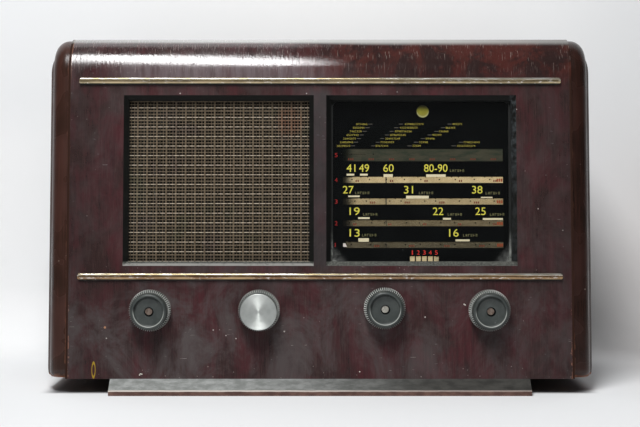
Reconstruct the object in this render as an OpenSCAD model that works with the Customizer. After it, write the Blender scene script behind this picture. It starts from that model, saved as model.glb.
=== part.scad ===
// Valve table radio: a bent plywood cabinet between two moulded cheeks, on a plinth.
// X runs to the right, the front faces -Y, +Z is up. The origin is the centre of the footprint.
// Everything on the leaning front is placed in a frame that leans with it: x across, z up the face,
// and y as the depth behind the face.

/* [Cabinet] */
// Width over both cheeks
case_w = 520; // [500:1:580]
// Depth from the foot of the front to the back edges of the cheeks
case_d = 230; // [215:1:260]
// Height of the cabinet's underside above the table
stand_h = 14; // [11:0.5:20]
// Lean of the front, in degrees from upright
lean = 6; // [4:0.5:8]
// Thickness of the bent plywood
ply_t = 10; // [8:0.5:12]
// Outer radius of the bend between front and roof
bend_r = 36; // [33:1:39]
// Thickness of the floor board
floor_t = 12; // [9:0.5:15]
// Section of the battens and glue blocks
batten = 10; // [8:0.5:11]

/* [Cheeks] */
// Thickness of each cheek
cheek_w = 21; // [19:0.5:26]
// How far the cheek starts below the plywood's face
cheek_drop = 1.5; // [0.5:0.1:2.5]
// Radius of the inner rounded layer
round_r = 13.5; // [11:0.5:14]
// Step between the two layers
layer_step = 1; // [0.5:0.1:1.5]
// Width of the outer layer
layer_w = 4.3; // [3:0.1:5]
// Depth of the outer layer's curve
layer_h = 13; // [10:0.5:14]
// Rounding at the foot of each cheek
foot_r = 8; // [5:0.5:10]

/* [Front] */
// Height of the knob centres above the cabinet's underside
knob_up = 64.5; // [60:0.5:70]
// Height of the lower trim above the knob centres
lower_trim_up = 30.5; // [28:0.5:36]
// Height of the openings above the lower trim's centre
opening_up = 10.4; // [8:0.1:14]
// Height of both openings
opening_h = 161.2; // [155:0.1:175]
// Width of each opening
opening_w = 180.3; // [176:0.1:186]
// Width of the pillar between the openings
pillar_w = 11.8; // [11.4:0.1:16]
// Bevel round each opening
bevel = 4.4; // [2:0.1:6]
// Height of the upper trim's centre above the openings
upper_trim_up = 13.1; // [9:0.1:16]
// Height of the roof above the upper trim's centre
crown_h = 42.3; // [41:0.1:50]
// Radius of the clearance holes for the shafts
shaft_hole_r = 6; // [5:0.5:8]

/* [Trims] */
// Height of a trim strip
trim_h = 6.8; // [5.5:0.1:8]
// How far a trim stands proud of the front
trim_proud = 3; // [2:0.1:4]
// Radius of each of the two beads
bead_r = 1.6; // [1.2:0.1:1.7]
// Gap from a cheek to the end of a trim
trim_end_gap = 10.5; // [4:0.5:20]

/* [Plinth] */
// Gap between a cheek's inner face and the plinth's end
plinth_in = 42; // [30:1:60]
// How far the plinth stands out in front
plinth_out = 14; // [8:0.5:16]
// Height of the upright lip
plinth_lip = 4.7; // [3:0.1:7]
// Rounding on the lip's upper edge
lip_r = 1; // [0.5:0.1:1.5]
// How far a plinth rail reaches under the cabinet
plinth_under = 26; // [20:1:40]

/* [Speaker] */
// Pitch of the major threads of the cloth
thread_pitch = 9.4; // [9:0.1:12]
// Width of a major thread
thread_w = 1.4; // [0.8:0.1:2]
// Thickness of the cloth
cloth_t = 0.8; // [0.5:0.1:1.2]
// How far boards and surrounds reach past an opening
lap = 5.4; // [4.5:0.1:5.5]
// Thickness of the baffle board
baffle_t = 8; // [6:0.5:10]
// Diameter of the speaker's flange
speaker_d = 165; // [150:1:168]
// Width of the flange
flange_w = 12.5; // [11:0.5:15]
// Thickness of the card gasket
gasket_t = 1.5; // [1:0.1:2.5]
// Sheet thickness of the basket
basket_t = 1.4; // [1:0.1:2]
// Depth of the basket
basket_h = 42; // [36:1:50]
// Radius of the basket's back plate
basket_back_r = 34; // [30:1:38]
// Radius of the magnet
magnet_r = 36; // [35:1:42]
// Length of the magnet
magnet_h = 34; // [26:1:40]
// Radius of the voice coil
coil_r = 13; // [11:0.5:15]
// Clearance of the voice coil in the magnet's gap
coil_gap = 0.6; // [0.5:0.1:0.9]
// Thickness of the cone
cone_t = 0.8; // [0.6:0.1:1.2]
// Radius of the speaker bolts
speaker_bolt_r = 2; // [1.5:0.1:2.4]

/* [Dial] */
// Thickness of the dark surround behind the opening
mask_t = 2.4; // [1.5:0.1:4]
// Part of the surround that shows at the sides
mask_side = 2; // [1:0.1:3]
// Part of the surround that shows above and below
mask_end = 0.3; // [0.1:0.1:1.5]
// Corner radius of the surround
mask_r = 5; // [2:0.5:8]
// Thickness of the dial glass
glass_t = 3; // [2:0.1:4]
// Margin of the glass past the opening
glass_lap = 3; // [2:0.1:4]
// Thickness of the printed scale
scale_t = 0.5; // [0.3:0.1:0.8]
// Length of the band strips
strip_len = 153; // [145:0.5:158]
// Height of a band strip
strip_h = 5.8; // [4:0.1:8]
// Height of the top strip
top_strip_h = 12; // [9:0.5:13]
// Pitch of the band strips
strip_pitch = 20.75; // [20:0.05:21.5]
// Height of the lowest strip above the opening's foot
strip_up = 20.5; // [18:0.5:22]
// Sideways offset of the strips from the opening's centre
strip_shift = 2.4; // [0:0.1:4]
// Pitch of the band windows
window_pitch = 5.7; // [5.2:0.1:6.2]
// Width of a band window
window_w = 4.6; // [3.5:0.1:5]
// Height of a band window
window_h = 5; // [3:0.1:6]
// Width of the band flag's red tab
flag_w = 2.4; // [1.6:0.1:5]
// Height of the band windows above the opening's foot
window_up = 7; // [6.9:0.1:8]
// Sideways offset of the band windows from the opening's centre
window_shift = 3.4; // [0:0.1:6]
// Radius of the round tuning window
eye_window_r = 6.2; // [4:0.1:7]
// Distance of the round window below the opening's head
eye_down = 13.5; // [12:0.5:15]
// Sideways offset of the round window from the opening's centre
eye_shift = 2.4; // [0:0.1:8]

/* [Dial drive] */
// Clear depth between the printed scale and the backplate
needle_space = 5.1; // [4.5:0.1:7]
// Thickness of the backplate
backplate_t = 1.2; // [0.8:0.1:1.6]
// Gap between the backplate and the speaker's rim
basket_gap = 2; // [1:0.1:2.5]
// Height of the pointer rail above the opening's foot
rail_up = 115; // [112:0.5:117]
// Radius of the pointer rail
rail_r = 2; // [1.5:0.1:2.5]
// Width of the pointer's carriage
carriage_w = 14; // [10:0.5:16]
// Width of the needle
needle_w = 1.2; // [0.8:0.1:1.6]
// Thickness of the needle and of the band flag
needle_t = 0.8; // [0.6:0.1:1]
// Radius of the cord's line round the drum
drum_r = 48; // [46:0.5:49]
// Radius of the cord's line round the pulleys
pulley_r = 8; // [7:0.5:9]
// Radius of the cord's line round the tuning spindle
winding_r = 4; // [3.95:0.05:5]
// Diameter of the cord
cord_d = 0.9; // [0.6:0.1:1]
// Spacing of the cord's turns
cord_pitch = 1.6; // [1.5:0.1:2]
// Width of the drum's rim
drum_w = 9; // [8.5:0.5:10]
// Height of the drum's shaft above the chassis
gang_shaft_up = 36; // [34:0.5:40]
// Turn of the drum from the scale's left end to where the pointer rests, in degrees
rest_turn = 48; // [0:1:180]

// Radius of a pilot lamp's holder
lamp_r = 5; // [4:0.1:6]
// Length of a pilot lamp's holder
holder_len = 13; // [10:0.5:16]
// Height of the pilot lamps above the opening's foot
lamp_up = 62; // [50:1:75]
// Height of the backplate's brackets above the chassis
bracket_h = 30; // [24:1:36]
// Width of the brackets
bracket_w = 10; // [8:0.5:12]
// Margin of the backplate outside its pulleys
plate_margin = 10; // [9:0.5:12]

/* [Tuning gang] */
// Radius of the rotor vanes
vane_r = 26; // [22:0.5:28]
// Thickness of a vane
vane_t = 0.8; // [0.5:0.1:1]
// Pitch of the vanes
vane_pitch = 3.4; // [3:0.1:4]
// Rotor vanes in each section
vanes = 6; // [4:1:8]
// Radius of the gang's shaft
gang_shaft_r = 4; // [3:0.5:5]
// Thickness of the gang's end plates
gang_plate_t = 2; // [1.6:0.1:3]

/* [Controls] */
// Distance of the volume knob from the left cheek
volume_in = 80; // [70:1:90]
// Offset of the tone knob
tone_x = -57; // [-65:1:-50]
// Offset of the band knob
band_x = 60.5; // [56:0.5:64]
// Distance of the tuning knob from the right cheek
tuning_in = 80.4; // [74:0.1:86]
// Height of the band knob above the others
band_lift = 2; // [0:0.5:3]
// Diameter of a knob over its knurling
knob_d = 39; // [34:0.5:44]
// Length of a knob
knob_len = 19.5; // [16:0.5:24]
// Length of the knurled skirt
skirt_len = 10; // [6:0.5:12]
// Diameter of the smooth front ring
ring_d = 36; // [32:0.5:38]
// Rounding of the smooth ring
ring_r = 3; // [1:0.5:4]
// Diameter of the recess in the front
recess_d = 27.4; // [22:0.2:29]
// Depth of the recess
recess_h = 2.2; // [1:0.1:3]
// Diameter of the hole in the middle of a knob
knob_hole_d = 8; // [7:0.2:10]
// Grooves in the knurling
grooves = 60; // [40:1:72]
// Depth of a groove
groove_h = 0.7; // [0.4:0.1:1]
// Gap between a knob and the panel
knob_gap = 2; // [1:0.1:4]
// Diameter of the spun disc
disc_d = 34; // [30:0.5:36]
// Thickness of the spun disc
disc_t = 1; // [0.6:0.1:1.4]
// Radius of the control shafts
shaft_r = 3.175; // [3:0.005:3.5]
// Running clearance of a shaft in its bush
running = 0.05; // [0.02:0.01:0.09]

/* [Chassis] */
// Height of the chassis tray
chassis_h = 70; // [66:0.5:74]
// Sheet thickness of the chassis
sheet_t = 1.6; // [1.2:0.1:2]
// Gap between the chassis and each cheek
chassis_side = 12; // [11.5:0.5:16]
// Thickness of the rubber grommets under the chassis
grommet_h = 6; // [5:0.5:8]
// Width of the chassis feet
foot_w = 16; // [14:0.5:22]
// Radius of the chassis bolts
bolt_r = 3; // [2.5:0.1:3.5]
// Radius of the socket bores
socket_r = 2; // [1.8:0.05:2.5]
// Length of the sockets
socket_len = 12; // [9:0.5:16]
// Gap between the chassis and the back of the cheeks
chassis_back_gap = 9; // [7:0.5:14]
// Thickness of the rear cover
cover_t = 3; // [2:0.1:4]
// How deep the rear cover sits inside the back edges
cover_set = 2; // [1:0.5:4]

/* [Valves and parts] */
// Gap between neighbouring parts on the chassis
part_gap = 3; // [2:0.5:5]
// Gap between the chassis's front and the parts on it
part_front = 8; // [6:0.5:12]
// Pitch of the valves in a row
valve_pitch = 50; // [44:1:54]
// Distance of the valves from the chassis's back
valve_in = 28; // [24:0.5:34]
// Rim of a valve socket round its base
socket_rim = 3; // [2:0.5:4]
// Width of the mains transformer's stack
mains_w = 64; // [56:1:68]
// Depth of the mains transformer over its winding
mains_d = 72; // [64:1:76]
// Height of the mains transformer
mains_h = 66; // [56:1:72]
// Width and depth of the output transformer
output_w = 40; // [34:1:46]
// Height of the output transformer
output_h = 36; // [30:1:44]
// Length of a transformer strap's foot
strap_foot = 10; // [8:0.5:12]
// Width of a socket panel
panel_w = 42; // [36:0.5:46]
// Height of a socket panel
panel_h = 18; // [16:0.5:22]
// Gap between the socket panels and the chassis's end
panel_in = 26; // [20:0.5:32]
// Pitch of the two socket panels
panel_pitch = 50; // [48:0.5:56]
// Pitch of the sockets in a panel
socket_pitch = 20; // [19:0.1:22]
// Distance of the mains lead's gland from the chassis's other end
gland_in = 77; // [60:1:90]
// Radius of a valve base
base_r = 16; // [14:0.5:17]
// Height of a valve base
base_h = 14; // [10:0.5:18]
// Radius of a valve bulb
bulb_r = 15; // [12:0.5:15.5]
// Height of a valve bulb
bulb_h = 62; // [50:1:70]
// Side of a coil can
can_side = 32; // [26:0.5:34]
// Height of a coil can
can_h = 72; // [60:1:80]
// Radius of the smoothing can
smooth_r = 17; // [14:0.5:18]
// Height of the smoothing can
smooth_h = 76; // [60:1:84]
// Radius of the tuning-eye valve
eye_r = 12.5; // [11:0.5:13]
// Length of the tuning-eye valve
eye_len = 78; // [66:1:84]
// Radius of a potentiometer's can
pot_r = 14; // [11:0.5:15]
// Depth of a potentiometer's can
pot_h = 15; // [12:0.5:18]
// Radius of a switch wafer
wafer_r = 19; // [16:0.5:20]
// Distance of the first wafer behind the chassis's front
wafer_in = 16; // [12:0.5:20]
// Pitch of the wafers
wafer_pitch = 14; // [10:0.5:16]
// Depth of a valve socket under the chassis
socket_deep = 8; // [6:0.5:10]

/* [Hidden] */
$fn = 64;
// Overshoot of a cut past the face that it cuts
past = 1;

// Heights on the front, stacked from the table up
floor_top = stand_h + floor_t;
knob_z = stand_h + knob_up;
band_z = knob_z + band_lift;
lower_trim_z = knob_z + lower_trim_up;
opening_z = lower_trim_z + opening_up;
upper_trim_z = opening_z + opening_h + upper_trim_up;
case_h = upper_trim_z + crown_h;
// Length of an opening, measured up the leaning face
opening_len = opening_h / cos(lean);

// Places from front to back
knob_out = knob_len + knob_gap + disc_t - (knob_up - knob_d / 2) * tan(lean);
front_y = (knob_out - case_d) / 2;
back_y = front_y + case_d;
knob_front = front_y - knob_out + disc_t;
knob_back = knob_front + knob_len;
inner_half = case_w / 2 - cheek_w;
plinth_w = 2 * (inner_half - plinth_in);
volume_x = volume_in - inner_half;
tuning_x = inner_half - tuning_in;
speaker_x = -(pillar_w + opening_w) / 2;
dial_x = (pillar_w + opening_w) / 2;

// Depths behind the face in the dial
glass_deep = ply_t + mask_t;
scale_deep = glass_deep + glass_t;
needle_deep = scale_deep + scale_t + (needle_space - needle_t) / 2;
plate_deep = scale_deep + scale_t + needle_space;
plate_back = plate_deep + backplate_t;
// Depths behind the face in the speaker
baffle_deep = ply_t + cloth_t;
speaker_deep = baffle_deep + baffle_t;

// Height and depth of the pointer rail, the cord's plane and the chassis
rail_z = opening_z + rail_up;
rail_y = depth_at(rail_z, plate_back) + rail_r + 4.5;
cord_y = rail_y + rail_r + 5.5;
chassis_front = cord_y + drum_w + 3;
chassis_back = back_y - chassis_back_gap;
chassis_half = inner_half - chassis_side;
chassis_base = floor_top + grommet_h;
chassis_top = chassis_base + chassis_h;
gang_x = dial_x;
gang_z = chassis_top + gang_shaft_up;

// The pointer's travel, and where it stands at rest
travel = drum_r * PI;
needle_x = dial_x + strip_shift - travel / 2 + travel * rest_turn / 180;
travel_end = carriage_w / 2 + 1;

// The band flag moves one window for each of four switch steps
flag_step = window_pitch;
flag_travel = 4 * flag_step;
band_step = 30;
lever_r = flag_travel / 2 / sin(2 * band_step);

// Height of the face's front at a height, and the depth of a leaning plane behind it
function front_at(z) = front_y + (z - stand_h) * tan(lean);
function depth_at(z, deep) = front_at(z) + deep / cos(lean);

// A frame that leans with the front, its origin on the face
module on_face(x, z, deep = 0)
    translate([x, front_at(z), z]) rotate([-lean, 0, 0]) translate([0, deep, 0]) children();

// A flat outline, x across and y up the face, made a plate that starts at a depth
module plate(deep, thick)
    translate([0, deep + thick, 0]) rotate([90, 0, 0]) linear_extrude(thick) children();

// A side outline, x to the back and y up, run across the cabinet over a width
module across(x, width)
    translate([x, 0, 0]) rotate([90, 0, 90]) linear_extrude(width) children();

// Something made along +Z, turned to run straight back from a point
module back_from(x, y, z)
    translate([x, y, z]) rotate([-90, 0, 0]) children();

// A tube or a ring with a true bore
module ring(outer, inner, h)
    difference() {
        cylinder(r = outer, h = h);
        translate([0, 0, -past]) cylinder(r = inner, h = h + 2 * past);
    }

// A rectangle with round corners, about its centre
module round_rect(w, h, r) {
    square([w - 2 * r, h], center = true);
    square([w, h - 2 * r], center = true);
    for (sx = [-1, 1], sy = [-1, 1]) translate([sx * (w / 2 - r), sy * (h / 2 - r)]) circle(r);
}

// The bend's centre in the side view, as depth and height
bend_centre = [front_at(case_h - bend_r) + bend_r / cos(lean), case_h - bend_r];

// The points of an arc, and the plywood's side view: leaning front, bend and roof
function arc(centre, r, from, to, steps) =
    [for (k = [0:steps]) centre + r * [cos(from + (to - from) * k / steps),
        sin(from + (to - from) * k / steps)]];
bend_steps = 24;
module shell_outline()
    polygon(concat([[depth_at(stand_h, 0), stand_h]], arc(bend_centre, bend_r, 180 - lean, 90, bend_steps),
        [[back_y, case_h], [back_y, case_h - ply_t]],
        arc(bend_centre, bend_r - ply_t, 90, 180 - lean, bend_steps), [[depth_at(stand_h, ply_t), stand_h]]));

// The cut of one opening: bevelled edges with mitred corners, then straight through
module opening_cut() {
    module section(size, mid) {
        half = size / 2;
        polygon([[mid - half - past, -past], [mid + half + past, -past], [mid + half - bevel, bevel],
            [mid + half - bevel, ply_t + past], [mid - half + bevel, ply_t + past],
            [mid - half + bevel, bevel]]);
    }
    intersection() {
        translate([0, 0, -2 * past]) linear_extrude(opening_len + 4 * past) section(opening_w, 0);
        translate([-opening_w / 2 - 2 * past, 0, 0]) rotate([90, 0, 90])
            linear_extrude(opening_w + 4 * past) mirror([1, -1]) section(opening_len, opening_len / 2);
    }
}

module front_roof_shell() {
    color("#4a1f1c") difference() {
        across(-inner_half, 2 * inner_half) shell_outline();
        for (x = [speaker_x, dial_x]) on_face(x, opening_z) opening_cut();
        for (c = [[volume_x, knob_z], [tone_x, knob_z], [band_x, band_z], [tuning_x, knob_z]])
            back_from(c[0], knob_front, c[1]) cylinder(r = shaft_hole_r, h = chassis_front - knob_front);
    }
}

// Points of the cheek's outline at one inset: foot corner, leaning front, bend, roof
function cheek_outline(inset) =
    let (foot = stand_h + foot_r)
    concat([[back_y, stand_h]],
        arc([depth_at(foot, inset + foot_r), foot], foot_r, 270, 180 - lean, bend_steps / 2),
        arc(bend_centre, bend_r - inset, 180 - lean, 90, bend_steps),
        [[back_y, case_h - inset]]);

// The moulding's section: [distance out from the joint, inset], inner layer first
layer_r = (pow(layer_w, 2) + pow(layer_h, 2)) / (2 * layer_w);
layer_x = cheek_w - layer_w;
moulding = concat([[0, cheek_drop]],
    [for (a = [0:7.5:90]) [layer_x - round_r + round_r * sin(a), cheek_drop + round_r * (1 - cos(a))]],
    [for (k = [8:-1:0]) let (a = asin(layer_h / layer_r) * k / 8)
        [cheek_w - layer_r * (1 - cos(a)) + (k == 8 ? 0.01 : 0),
            cheek_drop + round_r + layer_step + layer_h - layer_r * sin(a)]]);

module cheek() {
    rings = [for (m = moulding) [for (p = cheek_outline(m[1])) [m[0], p[0], p[1]]]];
    n = len(rings[0]);
    last = len(rings) - 1;
    translate([inner_half, 0, 0]) polyhedron(points = [for (r = rings) each r],
        faces = concat([[for (i = [0:n - 1]) i]],
            [for (k = [0:last - 1], i = [0:n - 1]) each [
                [k * n + i, (k + 1) * n + i, (k + 1) * n + (i + 1) % n],
                [k * n + i, (k + 1) * n + (i + 1) % n, k * n + (i + 1) % n]]],
            [[for (i = [n - 1:-1:0]) last * n + i]]));
}

module left_cheek() { color("#3a1c17") mirror([1, 0, 0]) cheek(); }

module right_cheek() { color("#3a1c17") cheek(); }

// Where the chassis is bolted down through the floor: one foot at each corner
bolt_in = 18;
bolt_x = chassis_half - foot_w / 2;
bolt_places = [for (sx = [-1, 1], y = [chassis_front + bolt_in, chassis_back - bolt_in]) [sx * bolt_x, y]];

module floor_board() {
    color("#8a6a48") difference() {
        across(-inner_half, 2 * inner_half) polygon([[depth_at(stand_h, ply_t), stand_h],
            [depth_at(floor_top, ply_t), floor_top], [back_y, floor_top], [back_y, stand_h]]);
        for (p = bolt_places) translate([p[0], p[1], stand_h - past])
            cylinder(r = bolt_r + 0.3, h = floor_t + 2 * past);
    }
}

module front_plinth() {
    lip_y = front_y - plinth_out;
    color("#4b2f28") across(-plinth_w / 2, plinth_w)
        polygon(concat([[lip_y, 0]], arc([lip_y + lip_r, plinth_lip - lip_r], lip_r, 180, 90, 4),
            [[front_y, stand_h], [front_y + plinth_under, stand_h], [front_y + plinth_under, 0]]));
}

module rear_plinth() {
    color("#4b2f28") translate([-plinth_w / 2, back_y - plinth_under, 0])
        cube([plinth_w, plinth_under - chassis_back_gap, stand_h]);
}

// Glue blocks in the floor's corners, and battens round the back that the rear cover is screwed to
cover_y = back_y - cover_set - cover_t;
cover_z = chassis_top + 4;
cover_h = case_h - ply_t - 1 - cover_z;
cover_half = inner_half - 1;

module battens() {
    block = 50;
    top = case_h - ply_t;
    color("#a07c52") {
        for (side = [0, 1]) mirror([side, 0, 0]) {
            for (y = [chassis_front - 40, chassis_back - 70]) translate([inner_half, y + block, floor_top])
                rotate([90, 0, 0]) linear_extrude(block) polygon([[0, 0], [-batten, 0], [0, batten]]);
            translate([inner_half - batten, cover_y - batten, cover_z])
                cube([batten, batten, top - cover_z - batten]);
        }
        translate([-inner_half, cover_y - batten, top - batten]) cube([2 * inner_half, batten, batten]);
    }
}

// A reeded strip: two beads on a thin base, with round ends
module trim(z) {
    length = 2 * (inner_half - trim_end_gap);
    base_t = trim_proud - bead_r;
    color("#b79a6a") on_face(0, z) intersection() {
        across(-length / 2, length) {
            translate([-base_t, -trim_h / 2]) square([base_t, trim_h]);
            for (s = [-1, 1]) translate([-base_t, s * (trim_h / 2 - bead_r)]) circle(bead_r);
        }
        plate(-trim_proud - past, trim_proud + past) {
            square([length - trim_h, trim_h], center = true);
            for (s = [-1, 1]) translate([s * (length - trim_h) / 2, 0]) circle(trim_h / 2);
        }
    }
}

module upper_trim() { trim(upper_trim_z); }

module lower_trim() { trim(lower_trim_z); }

// The cloth: a net of the major threads inside a woven border
module speaker_cloth() {
    w = opening_w - 2 * bevel;
    h = opening_len - 2 * bevel;
    columns = floor(w / thread_pitch);
    rows = floor(h / thread_pitch);
    step = [w / columns, h / rows];
    color("#6b5d4c") on_face(speaker_x, opening_z) plate(ply_t, cloth_t) difference() {
        translate([-opening_w / 2 - lap, -lap]) square([opening_w + 2 * lap, opening_len + 2 * lap]);
        for (i = [0:columns - 1], j = [0:rows - 1])
            translate([i * step[0] - w / 2 + thread_w / 2, bevel + j * step[1] + thread_w / 2])
                square([step[0] - thread_w, step[1] - thread_w]);
    }
}

// The speaker, made along +Z from the back of the baffle
speaker_r = speaker_d / 2;
hole_r = speaker_r - flange_w;
bolt_circle = speaker_r - speaker_bolt_r - 2;
basket_z = gasket_t + cone_t;
back_z = basket_z + basket_h;

module at_speaker() on_face(speaker_x, opening_z, speaker_deep)
    translate([0, 0, opening_len / 2]) rotate([-90, 0, 0]) children();

module at_speaker_bolts() for (a = [45:90:315])
    rotate([0, 0, a]) translate([bolt_circle, 0, 0]) children();

module baffle_board() {
    color("#2b2420") difference() {
        on_face(speaker_x, opening_z) plate(baffle_deep, baffle_t)
            translate([-opening_w / 2 - lap, -lap]) square([opening_w + 2 * lap, opening_len + 2 * lap]);
        at_speaker() {
            translate([0, 0, -baffle_t - past]) cylinder(r = hole_r, h = baffle_t + 2 * past);
            at_speaker_bolts() translate([0, 0, -baffle_t - past])
                cylinder(r = speaker_bolt_r + 0.2, h = baffle_t + 2 * past);
        }
    }
}

// Card gasket and the cone's corrugated edge, clamped between baffle and basket
module cone_edge() {
    edge_r = hole_r + 3;
    wave_r = 1.4;
    color("#3b3630") at_speaker() {
        difference() {
            ring(speaker_r, hole_r, gasket_t);
            at_speaker_bolts() translate([0, 0, -past])
                cylinder(r = speaker_bolt_r + 0.2, h = gasket_t + 2 * past);
        }
        rotate_extrude() translate([0, gasket_t]) difference() {
            union() {
                translate([hole_r - 6, 0]) square([edge_r - hole_r + 6, cone_t]);
                for (k = [0, 1]) translate([hole_r - 1.6 - k * 2.8, cone_t]) circle(wave_r);
            }
            for (k = [0, 1]) translate([hole_r - 1.6 - k * 2.8, cone_t - 0.8]) circle(wave_r);
            translate([hole_r - 8, -2 * wave_r]) square([20, 2 * wave_r]);
        }
    }
}

module speaker_basket() {
    rim_r = speaker_r - flange_w - 1;
    spokes = 6;
    color("#5a5e58") at_speaker() difference() {
        union() {
            translate([0, 0, basket_z]) ring(speaker_r, rim_r + basket_t, basket_t);
            rotate_extrude() polygon([[rim_r + basket_t, basket_z], [rim_r + 2 * basket_t + 2, basket_z],
                [basket_back_r + basket_t, back_z], [coil_r + 3, back_z], [coil_r + 3, back_z - basket_t],
                [basket_back_r, back_z - basket_t]]);
        }
        for (k = [0:spokes - 1]) rotate([0, 0, k * 360 / spokes]) translate([0, 0, basket_z + 8])
            linear_extrude(basket_h - 14) polygon([[basket_back_r - 8, 0], [speaker_d, 0],
                speaker_d * [cos(38), sin(38)], (basket_back_r - 8) * [cos(38), sin(38)]]);
        at_speaker_bolts() cylinder(r = speaker_bolt_r + 0.2, h = basket_z + 2 * basket_t + past);
    }
}

// Magnet pot with its ring gap and centre pole
module speaker_magnet() {
    gap_in = coil_r - coil_gap;
    gap_out = coil_r + cone_t + coil_gap;
    color("#8f9290") at_speaker() translate([0, 0, back_z]) rotate_extrude()
        polygon([[0, -basket_t], [gap_in, -basket_t], [gap_in, magnet_h / 2], [gap_out, magnet_h / 2],
            [gap_out, 0], [magnet_r, 0], [magnet_r, 6], [magnet_r - 3, 6], [magnet_r - 3, magnet_h - 6],
            [magnet_r, magnet_h - 6], [magnet_r, magnet_h], [0, magnet_h]]);
}

module speaker_cone() {
    outer = hole_r - 6.5;
    throat_z = back_z - 8;
    cap_r = coil_r * 0.6;
    coil_end = back_z + magnet_h / 4;
    color("#2e2a27") at_speaker() rotate_extrude()
        polygon([[0, throat_z - 6], [cap_r, throat_z - 4.5], [coil_r, throat_z], [outer - 1.2, basket_z],
            [outer, basket_z], [outer, basket_z + cone_t], [coil_r + cone_t, throat_z],
                [coil_r + cone_t, coil_end],
            [coil_r, coil_end], [coil_r, throat_z + cone_t], [cap_r, throat_z - 4.5 + cone_t],
            [0, throat_z - 6 + cone_t]]);
}

module speaker_bolts() {
    nut_h = 2.5;
    stack = basket_z + basket_t;
    color("#9a9a92") at_speaker() at_speaker_bolts() {
        translate([0, 0, -baffle_t]) cylinder(r = speaker_bolt_r, h = baffle_t + stack + nut_h + 2);
        translate([0, 0, stack]) cylinder(r = 2 * speaker_bolt_r - 0.2, h = nut_h, $fn = 6);
    }
}

// The dial's fixed pieces
module dial_surround() {
    color("#14110f") on_face(dial_x, opening_z) plate(ply_t, mask_t) difference() {
        translate([-opening_w / 2 - lap, -lap]) square([opening_w + 2 * lap, opening_len + 2 * lap]);
        translate([0, opening_len / 2]) round_rect(opening_w - 2 * (bevel + mask_side),
            opening_len - 2 * (bevel + mask_end), mask_r);
    }
}

module glass_outline()
    translate([-opening_w / 2 - glass_lap, -glass_lap])
        square([opening_w + 2 * glass_lap, opening_len + 2 * glass_lap]);

module dial_glass() {
    color("#9fb0a8", 0.4) on_face(dial_x, opening_z) plate(glass_deep, glass_t) glass_outline();
}

// The printed scale: black, clear along five strips, five small windows and the round tuning window
module dial_scale() {
    color("#0b0b0b") on_face(dial_x, opening_z) plate(scale_deep, scale_t) difference() {
        glass_outline();
        for (k = [0:3]) translate([strip_shift, strip_up + k * strip_pitch])
            square([strip_len, strip_h], center = true);
        translate([strip_shift, strip_up + 4 * strip_pitch + (top_strip_h - strip_h) / 2])
            square([strip_len, top_strip_h], center = true);
        for (k = [-2:2]) translate([window_shift + k * window_pitch, window_up])
            square([window_w, window_h], center = true);
        translate([eye_shift, opening_len - eye_down]) circle(eye_window_r);
    }
}

// Z-shaped clips that hold glass and scale against the surround
module glass_clips() {
    clip_t = 0.8;
    clip_w = 10;
    tab_deep = scale_deep + scale_t;
    section = [[ply_t, lap + 0.6], [ply_t, lap + 9], [ply_t + clip_t, lap + 9],
        [ply_t + clip_t, lap + 0.6 + clip_t], [tab_deep + clip_t, lap + 0.6 + clip_t],
        [tab_deep + clip_t, -glass_lap / 2], [tab_deep, -glass_lap / 2], [tab_deep, lap + 0.6]];
    color("#a8a89c") for (x = [-0.3, 0.3] * opening_w, end = [0, 1]) on_face(dial_x + x, opening_z)
        translate([0, 0, end * opening_len]) mirror([0, 0, 1 - end]) across(-clip_w / 2, clip_w)
            polygon(section);
}

// Pilot lamps stand beside the scale, hidden by the surround
lamp_x = opening_w / 2 - 2;
pulley_x = [needle_x - travel * rest_turn / 180, needle_x + travel * (1 - rest_turn / 180)]
    + [-1, 1] * (travel_end + pulley_r + 8);
flag_low = -9.5;
flag_high = -1.5;
guide_up = (flag_low + flag_high) / 2;
guide_r = 1.5;
flag_rest_x = window_shift + 2 * window_pitch;
guide_x = (flag_rest_x - 4 - flag_travel) * [1, 1] - [flag_travel + 2 * guide_r + 3.7, 0];

// The tuning-eye valve lies behind its window
eye_deep = plate_back + 0.4;
module at_eye() on_face(dial_x + eye_shift, opening_z)
    translate([0, eye_deep, opening_len - eye_down]) rotate([-90, 0, 0]) children();

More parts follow.
